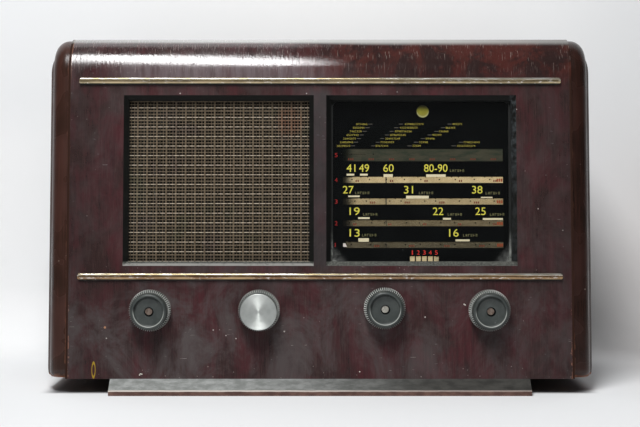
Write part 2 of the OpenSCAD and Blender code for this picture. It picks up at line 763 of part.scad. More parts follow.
// The cream-painted backplate: the slot that the pointer's tongue runs in, pulley studs, the pins that
// guide the band flag, a sleeve for the tuning-eye valve and two feet that stand on the chassis
module dial_backplate() {
    plate_top = opening_len + 6;
    edge_l = pulley_x[0] - plate_margin;
    edge_r = pulley_x[1] + plate_margin;
    slot_h = 5;
    up = chassis_top + bracket_h;
    foot_y = chassis_front + 20;
    low = chassis_top + sheet_t;
    color("#d9cfae") {
        difference() {
            on_face(0, opening_z) plate(plate_deep, backplate_t)
                translate([edge_l, flag_low - 1]) square([edge_r - edge_l, plate_top - flag_low + 1]);
            on_face(dial_x, opening_z, plate_deep - past) rotate([-90, 0, 0]) {
                translate([eye_shift, eye_down - opening_len, 0])
                    cylinder(r = eye_window_r + 2, h = 2 * past + backplate_t);
                for (s = [-1, 1]) translate([s * lamp_x, -lamp_up, 0])
                    cylinder(r = lamp_r + 0.6, h = 2 * past + backplate_t);
            }
            translate([pulley_x[0] + pulley_r + 3, front_at(rail_z), rail_z - slot_h / 2])
                cube([pulley_x[1] - pulley_x[0] - 2 * pulley_r - 6, rail_y - front_at(rail_z), slot_h]);
            at_speaker() cylinder(r = speaker_r + basket_gap, h = basket_h);
        }
        for (x = pulley_x) back_from(x, depth_at(rail_z, plate_back) - 0.6, rail_z)
            cylinder(r = 2, h = cord_y + 5 - depth_at(rail_z, plate_back));
        for (x = pulley_x + [1, -1] * (pulley_r + 3.5)) difference() {
            translate([x - 1.5, depth_at(rail_z, plate_back) - 0.5, rail_z - 5])
                cube([3, rail_y + rail_r + 1.5 - depth_at(rail_z, plate_back), 10]);
            translate([x - 3, rail_y, rail_z]) rotate([0, 90, 0]) cylinder(r = rail_r, h = 6);
        }
        on_face(dial_x, opening_z) for (x = guide_x) translate([x, 0, guide_up]) rotate([-90, 0, 0]) {
            translate([0, 0, needle_deep - 1]) cylinder(r = guide_r, h = plate_deep - needle_deep + 1.2);
            translate([0, 0, needle_deep - 1.1]) cylinder(r = 2 * guide_r, h = 0.7);
        }
        at_eye() translate([0, 0, plate_back - eye_deep - 0.5])
            ring(eye_r + 2.5, eye_r + 0.05, eye_r + 14);
        for (x = [pulley_x[0] - 4, pulley_x[1] + 2 - bracket_w]) across(x, bracket_w)
            polygon([[foot_y, chassis_top], [foot_y, low],
                [depth_at(low, plate_back + sheet_t), low], [depth_at(up, plate_back + sheet_t), up],
                [depth_at(up, plate_back - 0.5), up],
                    [depth_at(chassis_top, plate_back - 0.5), chassis_top]]);
    }
}

module at_lamps() on_face(dial_x, opening_z) for (s = [-1, 1])
    translate([s * lamp_x, 0, lamp_up]) rotate([-90, 0, 0]) children();

module pilot_lamps() {
    color("#e8dcb0") at_lamps() rotate_extrude() {
        translate([0, plate_deep]) intersection() {
            circle(3.4);
            translate([0, -4]) square([4, 8]);
        }
        translate([0, plate_deep]) square([3.4, 9]);
        translate([0, plate_deep + 5]) square([lamp_r - 0.4, holder_len - 7]);
    }
}

module lamp_holders() {
    color("#b59b5c") at_lamps() translate([0, 0, plate_back]) difference() {
        cylinder(r = lamp_r + 1.2, h = holder_len);
        translate([0, 0, -past]) cylinder(r = lamp_r - 0.4,
            h = plate_deep + holder_len - 2 - plate_back + past);
    }
}

module pointer_rail() {
    color("silver") translate([pulley_x[0] + pulley_r + 1.5, rail_y, rail_z]) rotate([0, 90, 0])
        cylinder(r = rail_r, h = pulley_x[1] - pulley_x[0] - 2 * pulley_r - 3);
}

// Carriage on the rail, a tongue through the slot, and the needle in front of the backplate
module pointer() {
    tongue_t = 1.4;
    half = rail_r + 1.6;
    needle_low = strip_up - 6;
    color("#2a2420") {
        difference() {
            union() {
                translate([needle_x - carriage_w / 2, rail_y - half, rail_z - half])
                    cube([carriage_w, 2 * half, 2 * half]);
                translate([needle_x - 4, rail_y, rail_z + rail_r])
                    cube([8, cord_y + 2 - rail_y, pulley_r - rail_r + 2]);
            }
            translate([needle_x - carriage_w, rail_y, rail_z]) rotate([0, 90, 0])
                cylinder(r = rail_r + running, h = 2 * carriage_w);
            translate([needle_x - carriage_w, cord_y - 1, rail_z + pulley_r - 1])
                cube([2 * carriage_w, 2, past + 4]);
        }
        translate([needle_x - 3, depth_at(rail_z, needle_deep + needle_t / 2), rail_z - tongue_t / 2])
            cube([6, rail_y - half - depth_at(rail_z, needle_deep + needle_t / 2) + 0.5, tongue_t]);
        on_face(needle_x, opening_z) plate(needle_deep, needle_t)
            translate([-needle_w / 2, needle_low]) square([needle_w, rail_up + 5 - needle_low]);
    }
}

// The cord's closed loop: left pulley, right pulley, a full turn round the spindle, a full turn round
// the drum. Each stop is [x, z, radius, extra turns].
stops = [[pulley_x[0], rail_z, pulley_r, 0], [pulley_x[1], rail_z, pulley_r, 0],
    [tuning_x, knob_z, winding_r, 1], [gang_x, gang_z, drum_r, 1]];
function leave_angle(a, b) = let (dx = b[0] - a[0], dz = b[1] - a[1])
    atan2(dz, dx) + acos((a[2] - b[2]) / norm([dx, dz]));
function turn_down(a) = a < 0 ? turn_down(a + 360) : a >= 360 ? turn_down(a - 360) : a;
function wrap(k) = turn_down(leave_angle(stops[(k + 3) % 4], stops[k])
    - leave_angle(stops[k], stops[(k + 1) % 4]))
    + 360 * stops[k][3];
// The cord steps back by one pitch a turn on the spindle and forward again on the drum
back_step = cord_pitch * wrap(2) / 360;
cord_back = [[0, 0], [0, 0], [0, back_step], [back_step, 0]];
arc_steps = [6, 6, 24, 40];
cord_path = [for (k = [0:3]) let (s = stops[k], from = leave_angle(stops[(k + 3) % 4], s))
    for (i = [0:arc_steps[k]]) let (t = i / arc_steps[k], a = from - wrap(k) * t)
        [s[0] + s[2] * cos(a), cord_y + cord_back[k][0] + (cord_back[k][1] - cord_back[k][0]) * t,
            s[1] + s[2] * sin(a), a]];

module drive_cord() {
    sides = 6;
    r = cord_d / 2;
    n = len(cord_path);
    color("#c9b98a") polyhedron(
        points = [for (p = cord_path, j = [0:sides - 1]) let (b = j * 360 / sides)
            [p[0] + r * cos(b) * cos(p[3]), p[1] + r * sin(b), p[2] + r * cos(b) * sin(p[3])]],
        faces = [for (k = [0:n - 1], j = [0:sides - 1]) let (m = (k + 1) % n, i = (j + 1) % sides)
            each [[k * sides + j, m * sides + j, m * sides + i],
                [k * sides + j, m * sides + i, k * sides + i]]]);
}

// A grooved wheel whose groove clears the cord; made along +Z from its front face
cord_clear = cord_d / 2 + 0.35;
module grooved(line_r, width, lip, bore) {
    rotate_extrude() polygon([[bore, 0], [line_r + lip, 0], [line_r + lip, 0.8], [line_r - cord_clear, 1.6],
        [line_r - cord_clear, width - 1.6], [line_r + lip, width - 0.8], [line_r + lip, width],
            [bore, width]]);
}

// Drum: a dished wheel with a rim, a web with four holes and a hub on the gang's shaft
module cord_drum() {
    hub_r = gang_shaft_r + 5;
    rim_in = drum_r - cord_clear - 2;
    front = cord_y - (drum_w - back_step) / 2;
    color("#b9b7ae") back_from(gang_x, front, gang_z) difference() {
        union() {
            grooved(drum_r, drum_w, 2, rim_in);
            translate([0, 0, drum_w / 2 - 1]) ring(rim_in + 1, gang_shaft_r, 2);
            ring(hub_r, gang_shaft_r, drum_w);
        }
        for (a = [45:90:315]) rotate([0, 0, a]) translate([(rim_in + hub_r) / 2, 0, -past])
            cylinder(r = (rim_in - hub_r) / 2 - 3, h = drum_w + 2 * past);
    }
}

module cord_pulley(x) {
    width = 5;
    color("#c9a24a") back_from(x, cord_y - width / 2, rail_z) grooved(pulley_r, width, 2, 2 + running);
}

module left_pulley() { cord_pulley(pulley_x[0]); }

module right_pulley() { cord_pulley(pulley_x[1]); }

module eye_valve() {
    color("#8fa07a") at_eye() rotate_extrude() {
        translate([0, eye_r / 2]) intersection() {
            translate([0, eye_r / 2]) circle(eye_r);
            translate([0, -eye_r / 2]) square([eye_r, eye_r]);
        }
        translate([0, eye_r]) square([eye_r, eye_len - eye_r - base_h]);
        translate([0, eye_len - base_h]) square([eye_r + 0.3, base_h]);
    }
}

// Sliding band flag: a bar on two guide pins, a red tab behind the windows, a fork for the lever's pin
pin_r = 1.2;
fork_x = band_x + lever_r * sin(2 * band_step) - dial_x;
module band_flag() {
    slot_h = 2 * guide_r + 0.7;
    fork_gap = 2 * pin_r + 2.6;
    prong = 2.4;
    fork_low = (band_z + shaft_r + 0.6 - opening_z) / cos(lean) + needle_deep * tan(lean);
    bar_l = guide_x[0] - guide_r - 3;
    color("#b3221a") on_face(dial_x, opening_z) plate(needle_deep, needle_t) difference() {
        union() {
            translate([bar_l, flag_low + 0.5])
                square([flag_rest_x + window_w / 2 - bar_l, flag_high - flag_low - 0.5]);
            translate([flag_rest_x + window_w / 2 - flag_w, flag_high - 1])
                square([flag_w, window_up + window_h / 2 + 1 - flag_high + 1]);
            translate([fork_x - fork_gap / 2 - prong, fork_low])
                square([fork_gap + 2 * prong, flag_low + 1 - fork_low]);
        }
        for (x = guide_x) translate([x - 0.4 - guide_r, guide_up - slot_h / 2])
            square([flag_travel + 2 * guide_r + 0.8, slot_h]);
        translate([fork_x - fork_gap / 2, fork_low - past]) square([fork_gap, flag_low - fork_low]);
    }
}

// A control shaft from inside the knob's bore to a point behind the chassis
shaft_front = knob_front + recess_h + 2.5;
module shaft(x, z, behind)
    back_from(x, shaft_front, z) cylinder(r = shaft_r, h = chassis_front + behind - shaft_front);

module tuning_spindle() {
    color("#b8a27a") {
        shaft(tuning_x, knob_z, 16);
        for (y = [cord_y - 3, cord_y + back_step + 1.6]) back_from(tuning_x, y, knob_z)
            cylinder(r = winding_r + 2.5, h = 1);
    }
}

// A threaded bush and its nut in the chassis wall, with a running bore for a shaft
bush_r = 4.7;
module bush(behind) {
    translate([0, 0, -4.5]) ring(bush_r, shaft_r + running, 4.5 + behind);
    translate([0, 0, -2.6]) difference() {
        cylinder(r = 8, h = 2.6, $fn = 6);
        translate([0, 0, -past]) cylinder(r = bush_r - 0.2, h = 5);
    }
}

module spindle_bush() {
    color("#b59b5c") back_from(tuning_x, chassis_front, knob_z) {
        bush(sheet_t + 8);
        translate([0, 0, sheet_t]) ring(bush_r + 3, shaft_r + running, 2);
    }
}

// Tuning gang: an open frame, two banks of fixed vanes and a rotor of half discs
bank = vanes * vane_pitch;
gang_front = chassis_front + part_front;
gang_lift = 4;
gang_len = 2 * bank + 3 * gang_plate_t + 4 * vane_pitch;
bank_y = [for (k = [0, 1])
    gang_front + gang_plate_t + vane_pitch + k * (bank + gang_plate_t + 2 * vane_pitch)];
gang_half = vane_r + 7;
rod_r = 1.5;

module gang_frame() {
    base_z = chassis_top + gang_lift;
    plate_h = gang_z + vane_r + 4 - base_z;
    color("#a3a59f") {
        translate([gang_x - gang_half, gang_front, base_z]) cube([2 * gang_half, gang_len, gang_plate_t]);
        for (y = [gang_front, gang_front + gang_plate_t + bank + 2 * vane_pitch,
            gang_front + gang_len - gang_plate_t])
            difference() {
                translate([gang_x - gang_half, y, base_z]) cube([2 * gang_half, gang_plate_t, plate_h]);
                back_from(gang_x, y - past, gang_z)
                    cylinder(r = gang_shaft_r + running, h = gang_plate_t + 2 * past);
            }
        for (s = [-1, 1], y = [gang_front + 6, gang_front + gang_len - 6])
            translate([gang_x + s * (gang_half - 7), y, chassis_top]) cylinder(r = 5, h = gang_lift);
    }
}

module gang_stators() {
    hub_clear = gang_shaft_r + 4;
    color("#c7c9c4") for (y0 = bank_y) {
        for (k = [0:vanes]) translate([0, y0 + (k - 0.5) * vane_pitch + vane_t, 0]) rotate([90, 0, 0])
            linear_extrude(vane_t) translate([gang_x, gang_z]) difference() {
                translate([-vane_r - 4, -vane_r]) square([vane_r + 4 - hub_clear, 2 * vane_r]);
                circle(hub_clear + 1);
            }
        for (s = [-1, 1]) back_from(gang_x - vane_r - 2.3, y0 - 0.6 * vane_pitch, gang_z + s * vane_r * 0.6)
            cylinder(r = rod_r, h = bank + 0.8 * vane_pitch);
    }
}

// The rotor's half discs point where the drum's rest angle leaves them
module gang_rotor() {
    shaft_start = cord_y - (drum_w - back_step) / 2 - 2;
    color("#d3d5cf") {
        back_from(gang_x, shaft_start, gang_z)
            cylinder(r = gang_shaft_r, h = gang_front + gang_len + 3 - shaft_start);
        for (y0 = bank_y) {
            back_from(gang_x, y0 - vane_pitch * 0.5, gang_z) cylinder(r = gang_shaft_r + 2, h = bank);
            for (k = [0:vanes - 1]) back_from(gang_x, y0 + k * vane_pitch, gang_z) rotate([0, 0, rest_turn])
                linear_extrude(vane_t) intersection() {
                    circle(vane_r);
                    translate([0, -vane_r]) square([vane_r, 2 * vane_r]);
                }
        }
    }
}

// Bakelite knob, made along +Z from its back face: knurled skirt, smooth ring, recess and bore
module knob_form() {
    ring_half = ring_d / 2;
    tips = [for (k = [0:2 * grooves - 1]) let (a = k * 180 / grooves, r = knob_d / 2 - (k % 2) * groove_h)
        r * [cos(a), sin(a)]];
    difference() {
        union() {
            linear_extrude(skirt_len) polygon(tips);
            rotate_extrude() {
                square([ring_half, knob_len - ring_r]);
                square([ring_half - ring_r, knob_len]);
                translate([ring_half - ring_r, knob_len - ring_r]) circle(ring_r);
            }
        }
        translate([0, 0, knob_len - recess_h]) cylinder(d = recess_d, h = recess_h + past);
        translate([0, 0, -past]) cylinder(r = shaft_r, h = knob_len);
        translate([0, 0, knob_len - recess_h - 4]) cylinder(d = knob_hole_d, h = 4 + past);
        rotate_extrude() translate([shaft_r + 4, -past]) square([ring_half - shaft_r - 7, skirt_len - 1]);
    }
}

module knob(x, z) translate([x, knob_back, z]) rotate([90, 0, 0]) knob_form();

module volume_knob() { color("#20292a") knob(volume_x, knob_z); }

module tone_knob() { color("#20292a") knob(tone_x, knob_z); }

module band_knob() { color("#20292a") knob(band_x, band_z); }

module tuning_knob() { color("#20292a") knob(tuning_x, knob_z); }

// Spun disc: a flat face with a turned rim, pressed into the recess by a boss
module tone_disc() {
    color("#cfd3d2") translate([tone_x, knob_front, knob_z]) rotate([90, 0, 0]) {
        rotate_extrude() polygon([[0, 0], [disc_d / 2, 0], [disc_d / 2, disc_t * 0.6],
            [disc_d / 2 - disc_t, disc_t], [0, disc_t]]);
        translate([0, 0, -recess_h]) cylinder(d = recess_d - 0.2, h = recess_h);
    }
}

module volume_shaft() { color("#9c7a5a") shaft(volume_x, knob_z, pot_h - 2); }

module tone_shaft() { color("#9c7a5a") shaft(tone_x, knob_z, pot_h - 2); }

module control_pots() {
    color("#77736a") for (x = [volume_x, tone_x]) back_from(x, chassis_front, knob_z) {
        bush(sheet_t);
        difference() {
            translate([0, 0, sheet_t]) cylinder(r = pot_r, h = pot_h);
            translate([0, 0, -past]) cylinder(r = shaft_r + running, h = past + pot_h);
        }
        for (k = [-1:1]) translate([k * 6 - 1.5, pot_r - 1, sheet_t + 3]) cube([3, 7, 0.8]);
    }
}

// Band switch: clicker box, two wafers on two rods; the shaft carries the rotors and the flag's lever
wafer_deep = [wafer_in, wafer_in + wafer_pitch];
module band_shaft() {
    lever_y = depth_at(band_z + lever_r, needle_deep + needle_t) + 2.2;
    turn = 2 * band_step;
    color("#9c7a5a") {
        shaft(band_x, band_z, wafer_deep[1] + 6);
        for (d = wafer_deep) back_from(band_x, chassis_front + d - 0.5, band_z) cylinder(r = 6.3, h = 2.6);
        back_from(band_x, lever_y, band_z) rotate([0, 0, turn]) {
            cylinder(r = shaft_r + 2, h = 6);
            translate([-2.5, -lever_r, 0]) cube([5, lever_r, 1.6]);
            translate([0, -lever_r, 0]) cylinder(r = 2.5, h = 1.6);
            translate([0, -lever_r, -5.5]) cylinder(r = pin_r, h = 6);
        }
    }
}

module switch_frame() {
    color("#b08d57") back_from(band_x, chassis_front, band_z) {
        bush(sheet_t);
        difference() {
            union() {
                translate([0, 0, sheet_t]) cylinder(r = wafer_r - 4, h = 6);
                for (d = wafer_deep) translate([0, 0, d]) cylinder(r = wafer_r, h = 1.6);
                for (s = [-1, 1]) translate([s * (wafer_r - 6), 0, sheet_t])
                    cylinder(r = 1.8, h = wafer_deep[1] + 2);
            }
            translate([0, 0, -past]) cylinder(r = shaft_r + running, h = 12);
            for (d = wafer_deep) translate([0, 0, d - past]) cylinder(r = 7, h = 4);
        }
    }
}

// Chassis: an open tray of sheet steel, upside down, with feet turned in at both ends
panel_x = (chassis_half - panel_in - panel_w / 2) * [1, 1] - [panel_pitch, 0];
socket_x = [for (x = panel_x, s = [-1, 1]) x + s * socket_pitch / 2];
socket_z = chassis_base + chassis_h / 2;
gland_x = gland_in - chassis_half;
mains_x = part_gap + strap_foot + mains_w / 2 - chassis_half;
mains_end = mains_x + mains_w / 2 + strap_foot;
valve_out = base_r + socket_rim;
valve_x = [for (k = [0:2]) mains_end + 3 * part_gap + valve_out + k * valve_pitch,
    for (k = [1, 0]) chassis_half - part_gap - valve_out - k * valve_pitch];

module chassis_tray() {
    depth = chassis_back - chassis_front;
    color("#9ea39f") difference() {
        union() {
            difference() {
                translate([-chassis_half, chassis_front, chassis_base])
                    cube([2 * chassis_half, depth, chassis_h]);
                translate([-chassis_half + sheet_t, chassis_front + sheet_t, chassis_base - past])
                    cube([2 * (chassis_half - sheet_t), depth - 2 * sheet_t, chassis_h + past - sheet_t]);
            }
            for (side = [0, 1]) mirror([side, 0, 0])
                translate([chassis_half - foot_w, chassis_front, chassis_base])
                cube([foot_w, depth, sheet_t]);
        }
        for (c = [[volume_x, knob_z], [tone_x, knob_z], [band_x, band_z], [tuning_x, knob_z]])
            back_from(c[0], chassis_front - past, c[1]) cylinder(r = bush_r + 0.1, h = sheet_t + 2 * past);
        for (p = bolt_places) translate([p[0], p[1], chassis_base - past])
            cylinder(r = bolt_r + 0.3, h = sheet_t + 2 * past);
        for (x = valve_x) translate([x, chassis_back - valve_in, chassis_top - sheet_t - past])
            cylinder(r = base_r - 2, h = sheet_t + 2 * past);
        for (x = socket_x) back_from(x, chassis_back - sheet_t - past, socket_z)
            cylinder(r = socket_r + 2.5, h = sheet_t + 2 * past);
        back_from(gland_x, chassis_back - sheet_t - past, socket_z) cylinder(r = 8.5, h = sheet_t + 2 * past);
    }
}

// Bolts up through the floor and the chassis feet, each with its nut and a rubber grommet between
module chassis_bolts() {
    head_h = 3;
    nut_h = 3.5;
    color("#9a9a92") for (p = bolt_places) translate([p[0], p[1], stand_h - head_h]) {
        cylinder(r = 2 * bolt_r, h = head_h);
        cylinder(r = bolt_r, h = head_h + floor_t + grommet_h + sheet_t + nut_h + 2);
        translate([0, 0, head_h + floor_t + grommet_h + sheet_t])
            cylinder(r = 2 * bolt_r - 0.3, h = nut_h, $fn = 6);
    }
}

module rubber_grommets() {
    color("#1a1a1a") for (p = bolt_places) translate([p[0], p[1], floor_top])
        ring(2 * bolt_r + 1, bolt_r + 0.2, grommet_h);
}

// A transformer: a stack of laminations, the winding through it, and a strap that clamps it down
module transformer(x, y, size) {
    w = size[0];
    d = size[1];
    h = size[2];
    stack = d * 0.6;
    low = 3;
    wound_h = h - low - 0.4 * w;
    half = w / 2;
    translate([x, y, chassis_top]) {
        color("#3b3d3f") translate([-half, -stack / 2, low]) cube([w, stack, h - low]);
        color("#c8b27a") translate([0, d / 2, low + (h - low) / 2]) rotate([90, 0, 0])
            linear_extrude(d) round_rect(w * 0.7, wound_h, 4);
        color("#5c5f5c") translate([0, stack / 2 - 2, 0]) rotate([90, 0, 0]) linear_extrude(stack - 4)
            polygon([[-half - strap_foot, 0], [-half - strap_foot, 2], [-half - 2, 2], [-half - 2, h + 2],
                [half + 2, h + 2], [half + 2, 2], [half + strap_foot, 2], [half + strap_foot, 0],
                [half - 1, 0], [half - 1, h - 1], [1 - half, h - 1], [1 - half, 0]]);
    }
}

module mains_transformer() {
    transformer(mains_x, chassis_back - 2 * part_gap - mains_d / 2, [mains_w, mains_d, mains_h]);
}

module output_transformer() {
    transformer(part_gap + strap_foot + output_w / 2 - chassis_half,
        chassis_front + part_front + output_w / 2,
        [output_w, output_w, output_h]);
}

module smoothing_can() {
    clear_y = chassis_back - valve_in - valve_out - part_gap;
    color("#c9ccca") translate([mains_end + part_gap + smooth_r + 3, clear_y - smooth_r - 7, chassis_top])
        rotate_extrude() {
        square([smooth_r + 3, 3]);
        square([smooth_r, smooth_h - 2]);
        square([smooth_r - 2, smooth_h]);
        translate([smooth_r - 2, smooth_h - 2]) circle(2);
    }
}

// Square coil cans with a domed top and two trimmer holes: two left of the gang, two at the chassis's end
module coil_cans() {
    half = can_side / 2;
    end_x = chassis_half - 2 * part_gap - half;
    clear_y = chassis_back - valve_in - valve_out - part_gap;
    front_can = chassis_front + 3 * part_front + half;
    for (p = [[valve_x[2] - half - 2, clear_y - half - 10],
        [gang_x - gang_half - 3 * part_gap - half, clear_y - half],
        [end_x, front_can], [end_x, front_can + can_side + part_gap]]) color("#d2d4d2")
        translate([p[0], p[1], chassis_top]) difference() {
            union() {
                linear_extrude(can_h - 3) round_rect(can_side, can_side, 4);
                translate([0, 0, can_h - 3]) linear_extrude(3) round_rect(can_side - 4, can_side - 4, 3);
            }
            for (s = [-1, 1]) translate([s * 6, 0, can_h - 6]) cylinder(r = 2.5, h = 8);
        }
}

module at_valves() for (x = valve_x) translate([x, chassis_back - valve_in, chassis_top]) children();

module valve_sockets() {
    color("#3a2a20") at_valves() rotate_extrude() difference() {
        union() {
            translate([0, -socket_deep]) square([base_r - 2.2, socket_deep]);
            square([valve_out, 3]);
        }
        translate([0, -socket_deep - past]) square([4, socket_deep + socket_rim + 2 * past]);
    }
}

module valve_bases() {
    color("#1d1512") at_valves() translate([0, 0, 3]) {
        rotate_extrude() {
            square([base_r, base_h - 1]);
            square([base_r - 1, base_h]);
        }
        translate([0, 0, 1 - socket_rim - socket_deep]) cylinder(r = 3.8, h = socket_rim + socket_deep);
    }
}

// Straight bulbs with a domed crown
module valve_bulbs() {
    color("#a9b3ad", 0.6) at_valves() translate([0, 0, 3 + base_h]) rotate_extrude() {
        square([bulb_r, bulb_h - bulb_r]);
        translate([0, bulb_h - bulb_r]) intersection() {
            circle(bulb_r);
            square(bulb_r);
        }
    }
}

// Sockets for aerial and earth, and for a second speaker, in a panel on the chassis's back
panel_t = 2;
module terminal_panel() {
    color("#5d3b22") difference() {
        for (x = panel_x) back_from(x, chassis_back, socket_z) linear_extrude(panel_t)
            round_rect(panel_w, panel_h, 4);
        for (x = socket_x) back_from(x, chassis_back - past, socket_z)
            cylinder(r = socket_r + 1.6, h = panel_t + 2 * past);
    }
}

module terminal_sockets() {
    color("#c9a24a") for (x = socket_x) back_from(x, chassis_back + panel_t + 1 - socket_len, socket_z) {
        ring(socket_r + 1.6, socket_r, socket_len);
        translate([0, 0, socket_len - 1]) ring(socket_r + 2.6, socket_r, 1);
    }
}

// Rubber gland for the mains lead, which is left out
module mains_gland() {
    color("#1a1a1a") back_from(gland_x, chassis_back - sheet_t - 2, socket_z) difference() {
        union() {
            cylinder(r = 8.4, h = sheet_t + 4);
            cylinder(r = 10.5, h = 2);
            translate([0, 0, sheet_t + 2]) cylinder(r = 10.5, h = 2);
        }
        translate([0, 0, -past]) cylinder(r = 4, h = sheet_t + 4 + 2 * past);
    }
}

// Rear cover with rows of cooling slots and its screws' clearance
module rear_cover() {
    slot = [22, 5];
    slot_pitch = [34, 14];
    columns = floor((2 * cover_half - 60) / slot_pitch[0]);
    rows = 5;
    color("#5b4433") translate([0, cover_y + cover_t, 0]) rotate([90, 0, 0]) linear_extrude(cover_t)
        difference() {
        translate([-cover_half, cover_z]) square([2 * cover_half, cover_h]);
        for (i = [0:columns - 1], j = [0:rows - 1])
            translate([(i - (columns - 1) / 2) * slot_pitch[0], case_h - ply_t - 40 - j * slot_pitch[1]])
                round_rect(slot[0], slot[1], 2.4);
    }
}

front_roof_shell();
left_cheek();
right_cheek();
floor_board();
front_plinth();
rear_plinth();
battens();
upper_trim();
lower_trim();
baffle_board();
speaker_cloth();
cone_edge();
speaker_basket();
speaker_magnet();
speaker_cone();
speaker_bolts();
dial_surround();
dial_glass();
dial_scale();
glass_clips();
dial_backplate();
pilot_lamps();
lamp_holders();
pointer_rail();
pointer();
drive_cord();
cord_drum();
left_pulley();
right_pulley();
eye_valve();
band_flag();
tuning_spindle();
spindle_bush();
gang_frame();
gang_stators();
gang_rotor();
volume_knob();
tone_knob();
band_knob();
tuning_knob();
tone_disc();
volume_shaft();
tone_shaft();
control_pots();
band_shaft();
switch_frame();
chassis_tray();
chassis_bolts();
rubber_grommets();
mains_transformer();
output_transformer();
smoothing_can();
coil_cans();
valve_sockets();
valve_bases();
valve_bulbs();
terminal_panel();
terminal_sockets();
mains_gland();
rear_cover();
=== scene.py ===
import math
import random

import bmesh
import bpy
from mathutils import Matrix, Vector


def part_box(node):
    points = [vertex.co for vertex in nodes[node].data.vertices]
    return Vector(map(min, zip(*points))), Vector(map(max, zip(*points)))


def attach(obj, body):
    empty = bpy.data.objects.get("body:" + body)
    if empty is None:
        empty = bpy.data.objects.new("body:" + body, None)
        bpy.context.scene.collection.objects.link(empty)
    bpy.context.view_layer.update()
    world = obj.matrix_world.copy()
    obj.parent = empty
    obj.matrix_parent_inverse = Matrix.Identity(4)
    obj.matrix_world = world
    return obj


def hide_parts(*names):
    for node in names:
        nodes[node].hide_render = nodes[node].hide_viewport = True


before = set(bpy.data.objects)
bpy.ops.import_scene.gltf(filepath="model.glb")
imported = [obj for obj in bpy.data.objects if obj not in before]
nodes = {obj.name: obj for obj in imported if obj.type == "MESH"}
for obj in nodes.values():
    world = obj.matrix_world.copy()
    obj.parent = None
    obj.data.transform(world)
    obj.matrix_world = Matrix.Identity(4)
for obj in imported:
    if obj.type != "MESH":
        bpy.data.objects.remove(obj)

scene = bpy.context.scene
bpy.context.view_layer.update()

# Table, backdrop, camera and light. The set stands on white paper that turns up in a tight curve close
# behind it, under one long oval soft light high in front. The room itself gives only a dim fill.
VIEW_FROM, VIEW_DOWN = (0.0, -1.5061, 0.2205), math.radians(2.1)
PHOTO_WIDTH, FOCAL_PIXELS, SENSOR = 640, 1500, 36.0
PAPER_BACK, PAPER_CURVE, PAPER_HIGH, PAPER_HALF = 0.20, 0.07, 2.6, 3.0
LIGHT_FROM, LIGHT_TO = Vector((-0.249, -1.005, 1.419)), Vector((0.0, 0.0, 0.2))
LIGHT_LONG, LIGHT_SHORT, LIGHT_TURN, LIGHT_WATTS = 1.109, 0.406, math.radians(-52.3), 28
ROOM_FILL, ROOM_SEEN = 0.10, 0.90

camera_data = bpy.data.cameras.new("view")
camera_data.lens = SENSOR * FOCAL_PIXELS / PHOTO_WIDTH
camera_data.sensor_width = SENSOR
camera = bpy.data.objects.new("view", camera_data)
camera.location = VIEW_FROM
camera.rotation_euler = (math.pi / 2 - VIEW_DOWN, 0, 0)
scene.collection.objects.link(camera)
scene.camera = camera
scene.view_settings.view_transform = "Standard"

room = bpy.data.worlds.new("room")
room.use_nodes = True
air = room.node_tree.nodes["Background"]
air.inputs["Color"].default_value = (0.93, 0.97, 1.0, 1)
looked_at = room.node_tree.nodes.new("ShaderNodeLightPath").outputs["Is Camera Ray"]
strength = room.node_tree.nodes.new("ShaderNodeMapRange")
strength.inputs["To Min"].default_value = ROOM_FILL
strength.inputs["To Max"].default_value = ROOM_SEEN
room.node_tree.links.new(looked_at, strength.inputs["Value"])
room.node_tree.links.new(strength.outputs["Result"], air.inputs["Strength"])
scene.world = room

softbox_data = bpy.data.lights.new("softbox", "AREA")
softbox_data.shape = "ELLIPSE"
softbox_data.size = LIGHT_LONG
softbox_data.size_y = LIGHT_SHORT
softbox_data.energy = LIGHT_WATTS
softbox = bpy.data.objects.new("softbox", softbox_data)
softbox.location = LIGHT_FROM
aim = (LIGHT_TO - LIGHT_FROM).to_track_quat("-Z", "Y").to_matrix()
softbox.rotation_euler = (aim @ Matrix.Rotation(LIGHT_TURN, 3, "Z")).to_euler()
scene.collection.objects.link(softbox)


def mesh_piece(name, points, faces):
    mesh = bpy.data.meshes.new(name)
    mesh.from_pydata([tuple(p) for p in points], [], faces)
    mesh.validate()
    piece = bpy.data.objects.new(name, mesh)
    scene.collection.objects.link(piece)
    return piece


paper_line = [(-4.0, 0.0)] + [
    (PAPER_BACK + PAPER_CURVE * math.sin(a), PAPER_CURVE * (1 - math.cos(a)))
    for a in [math.radians(5 * k) for k in range(19)]
] + [(PAPER_BACK + PAPER_CURVE, PAPER_HIGH)]
paper = mesh_piece(
    "paper",
    [(side * PAPER_HALF, y, z) for y, z in paper_line for side in (-1, 1)],
    [(2 * k, 2 * k + 1, 2 * k + 3, 2 * k + 2) for k in range(len(paper_line) - 1)],
)
paper.data.shade_smooth()


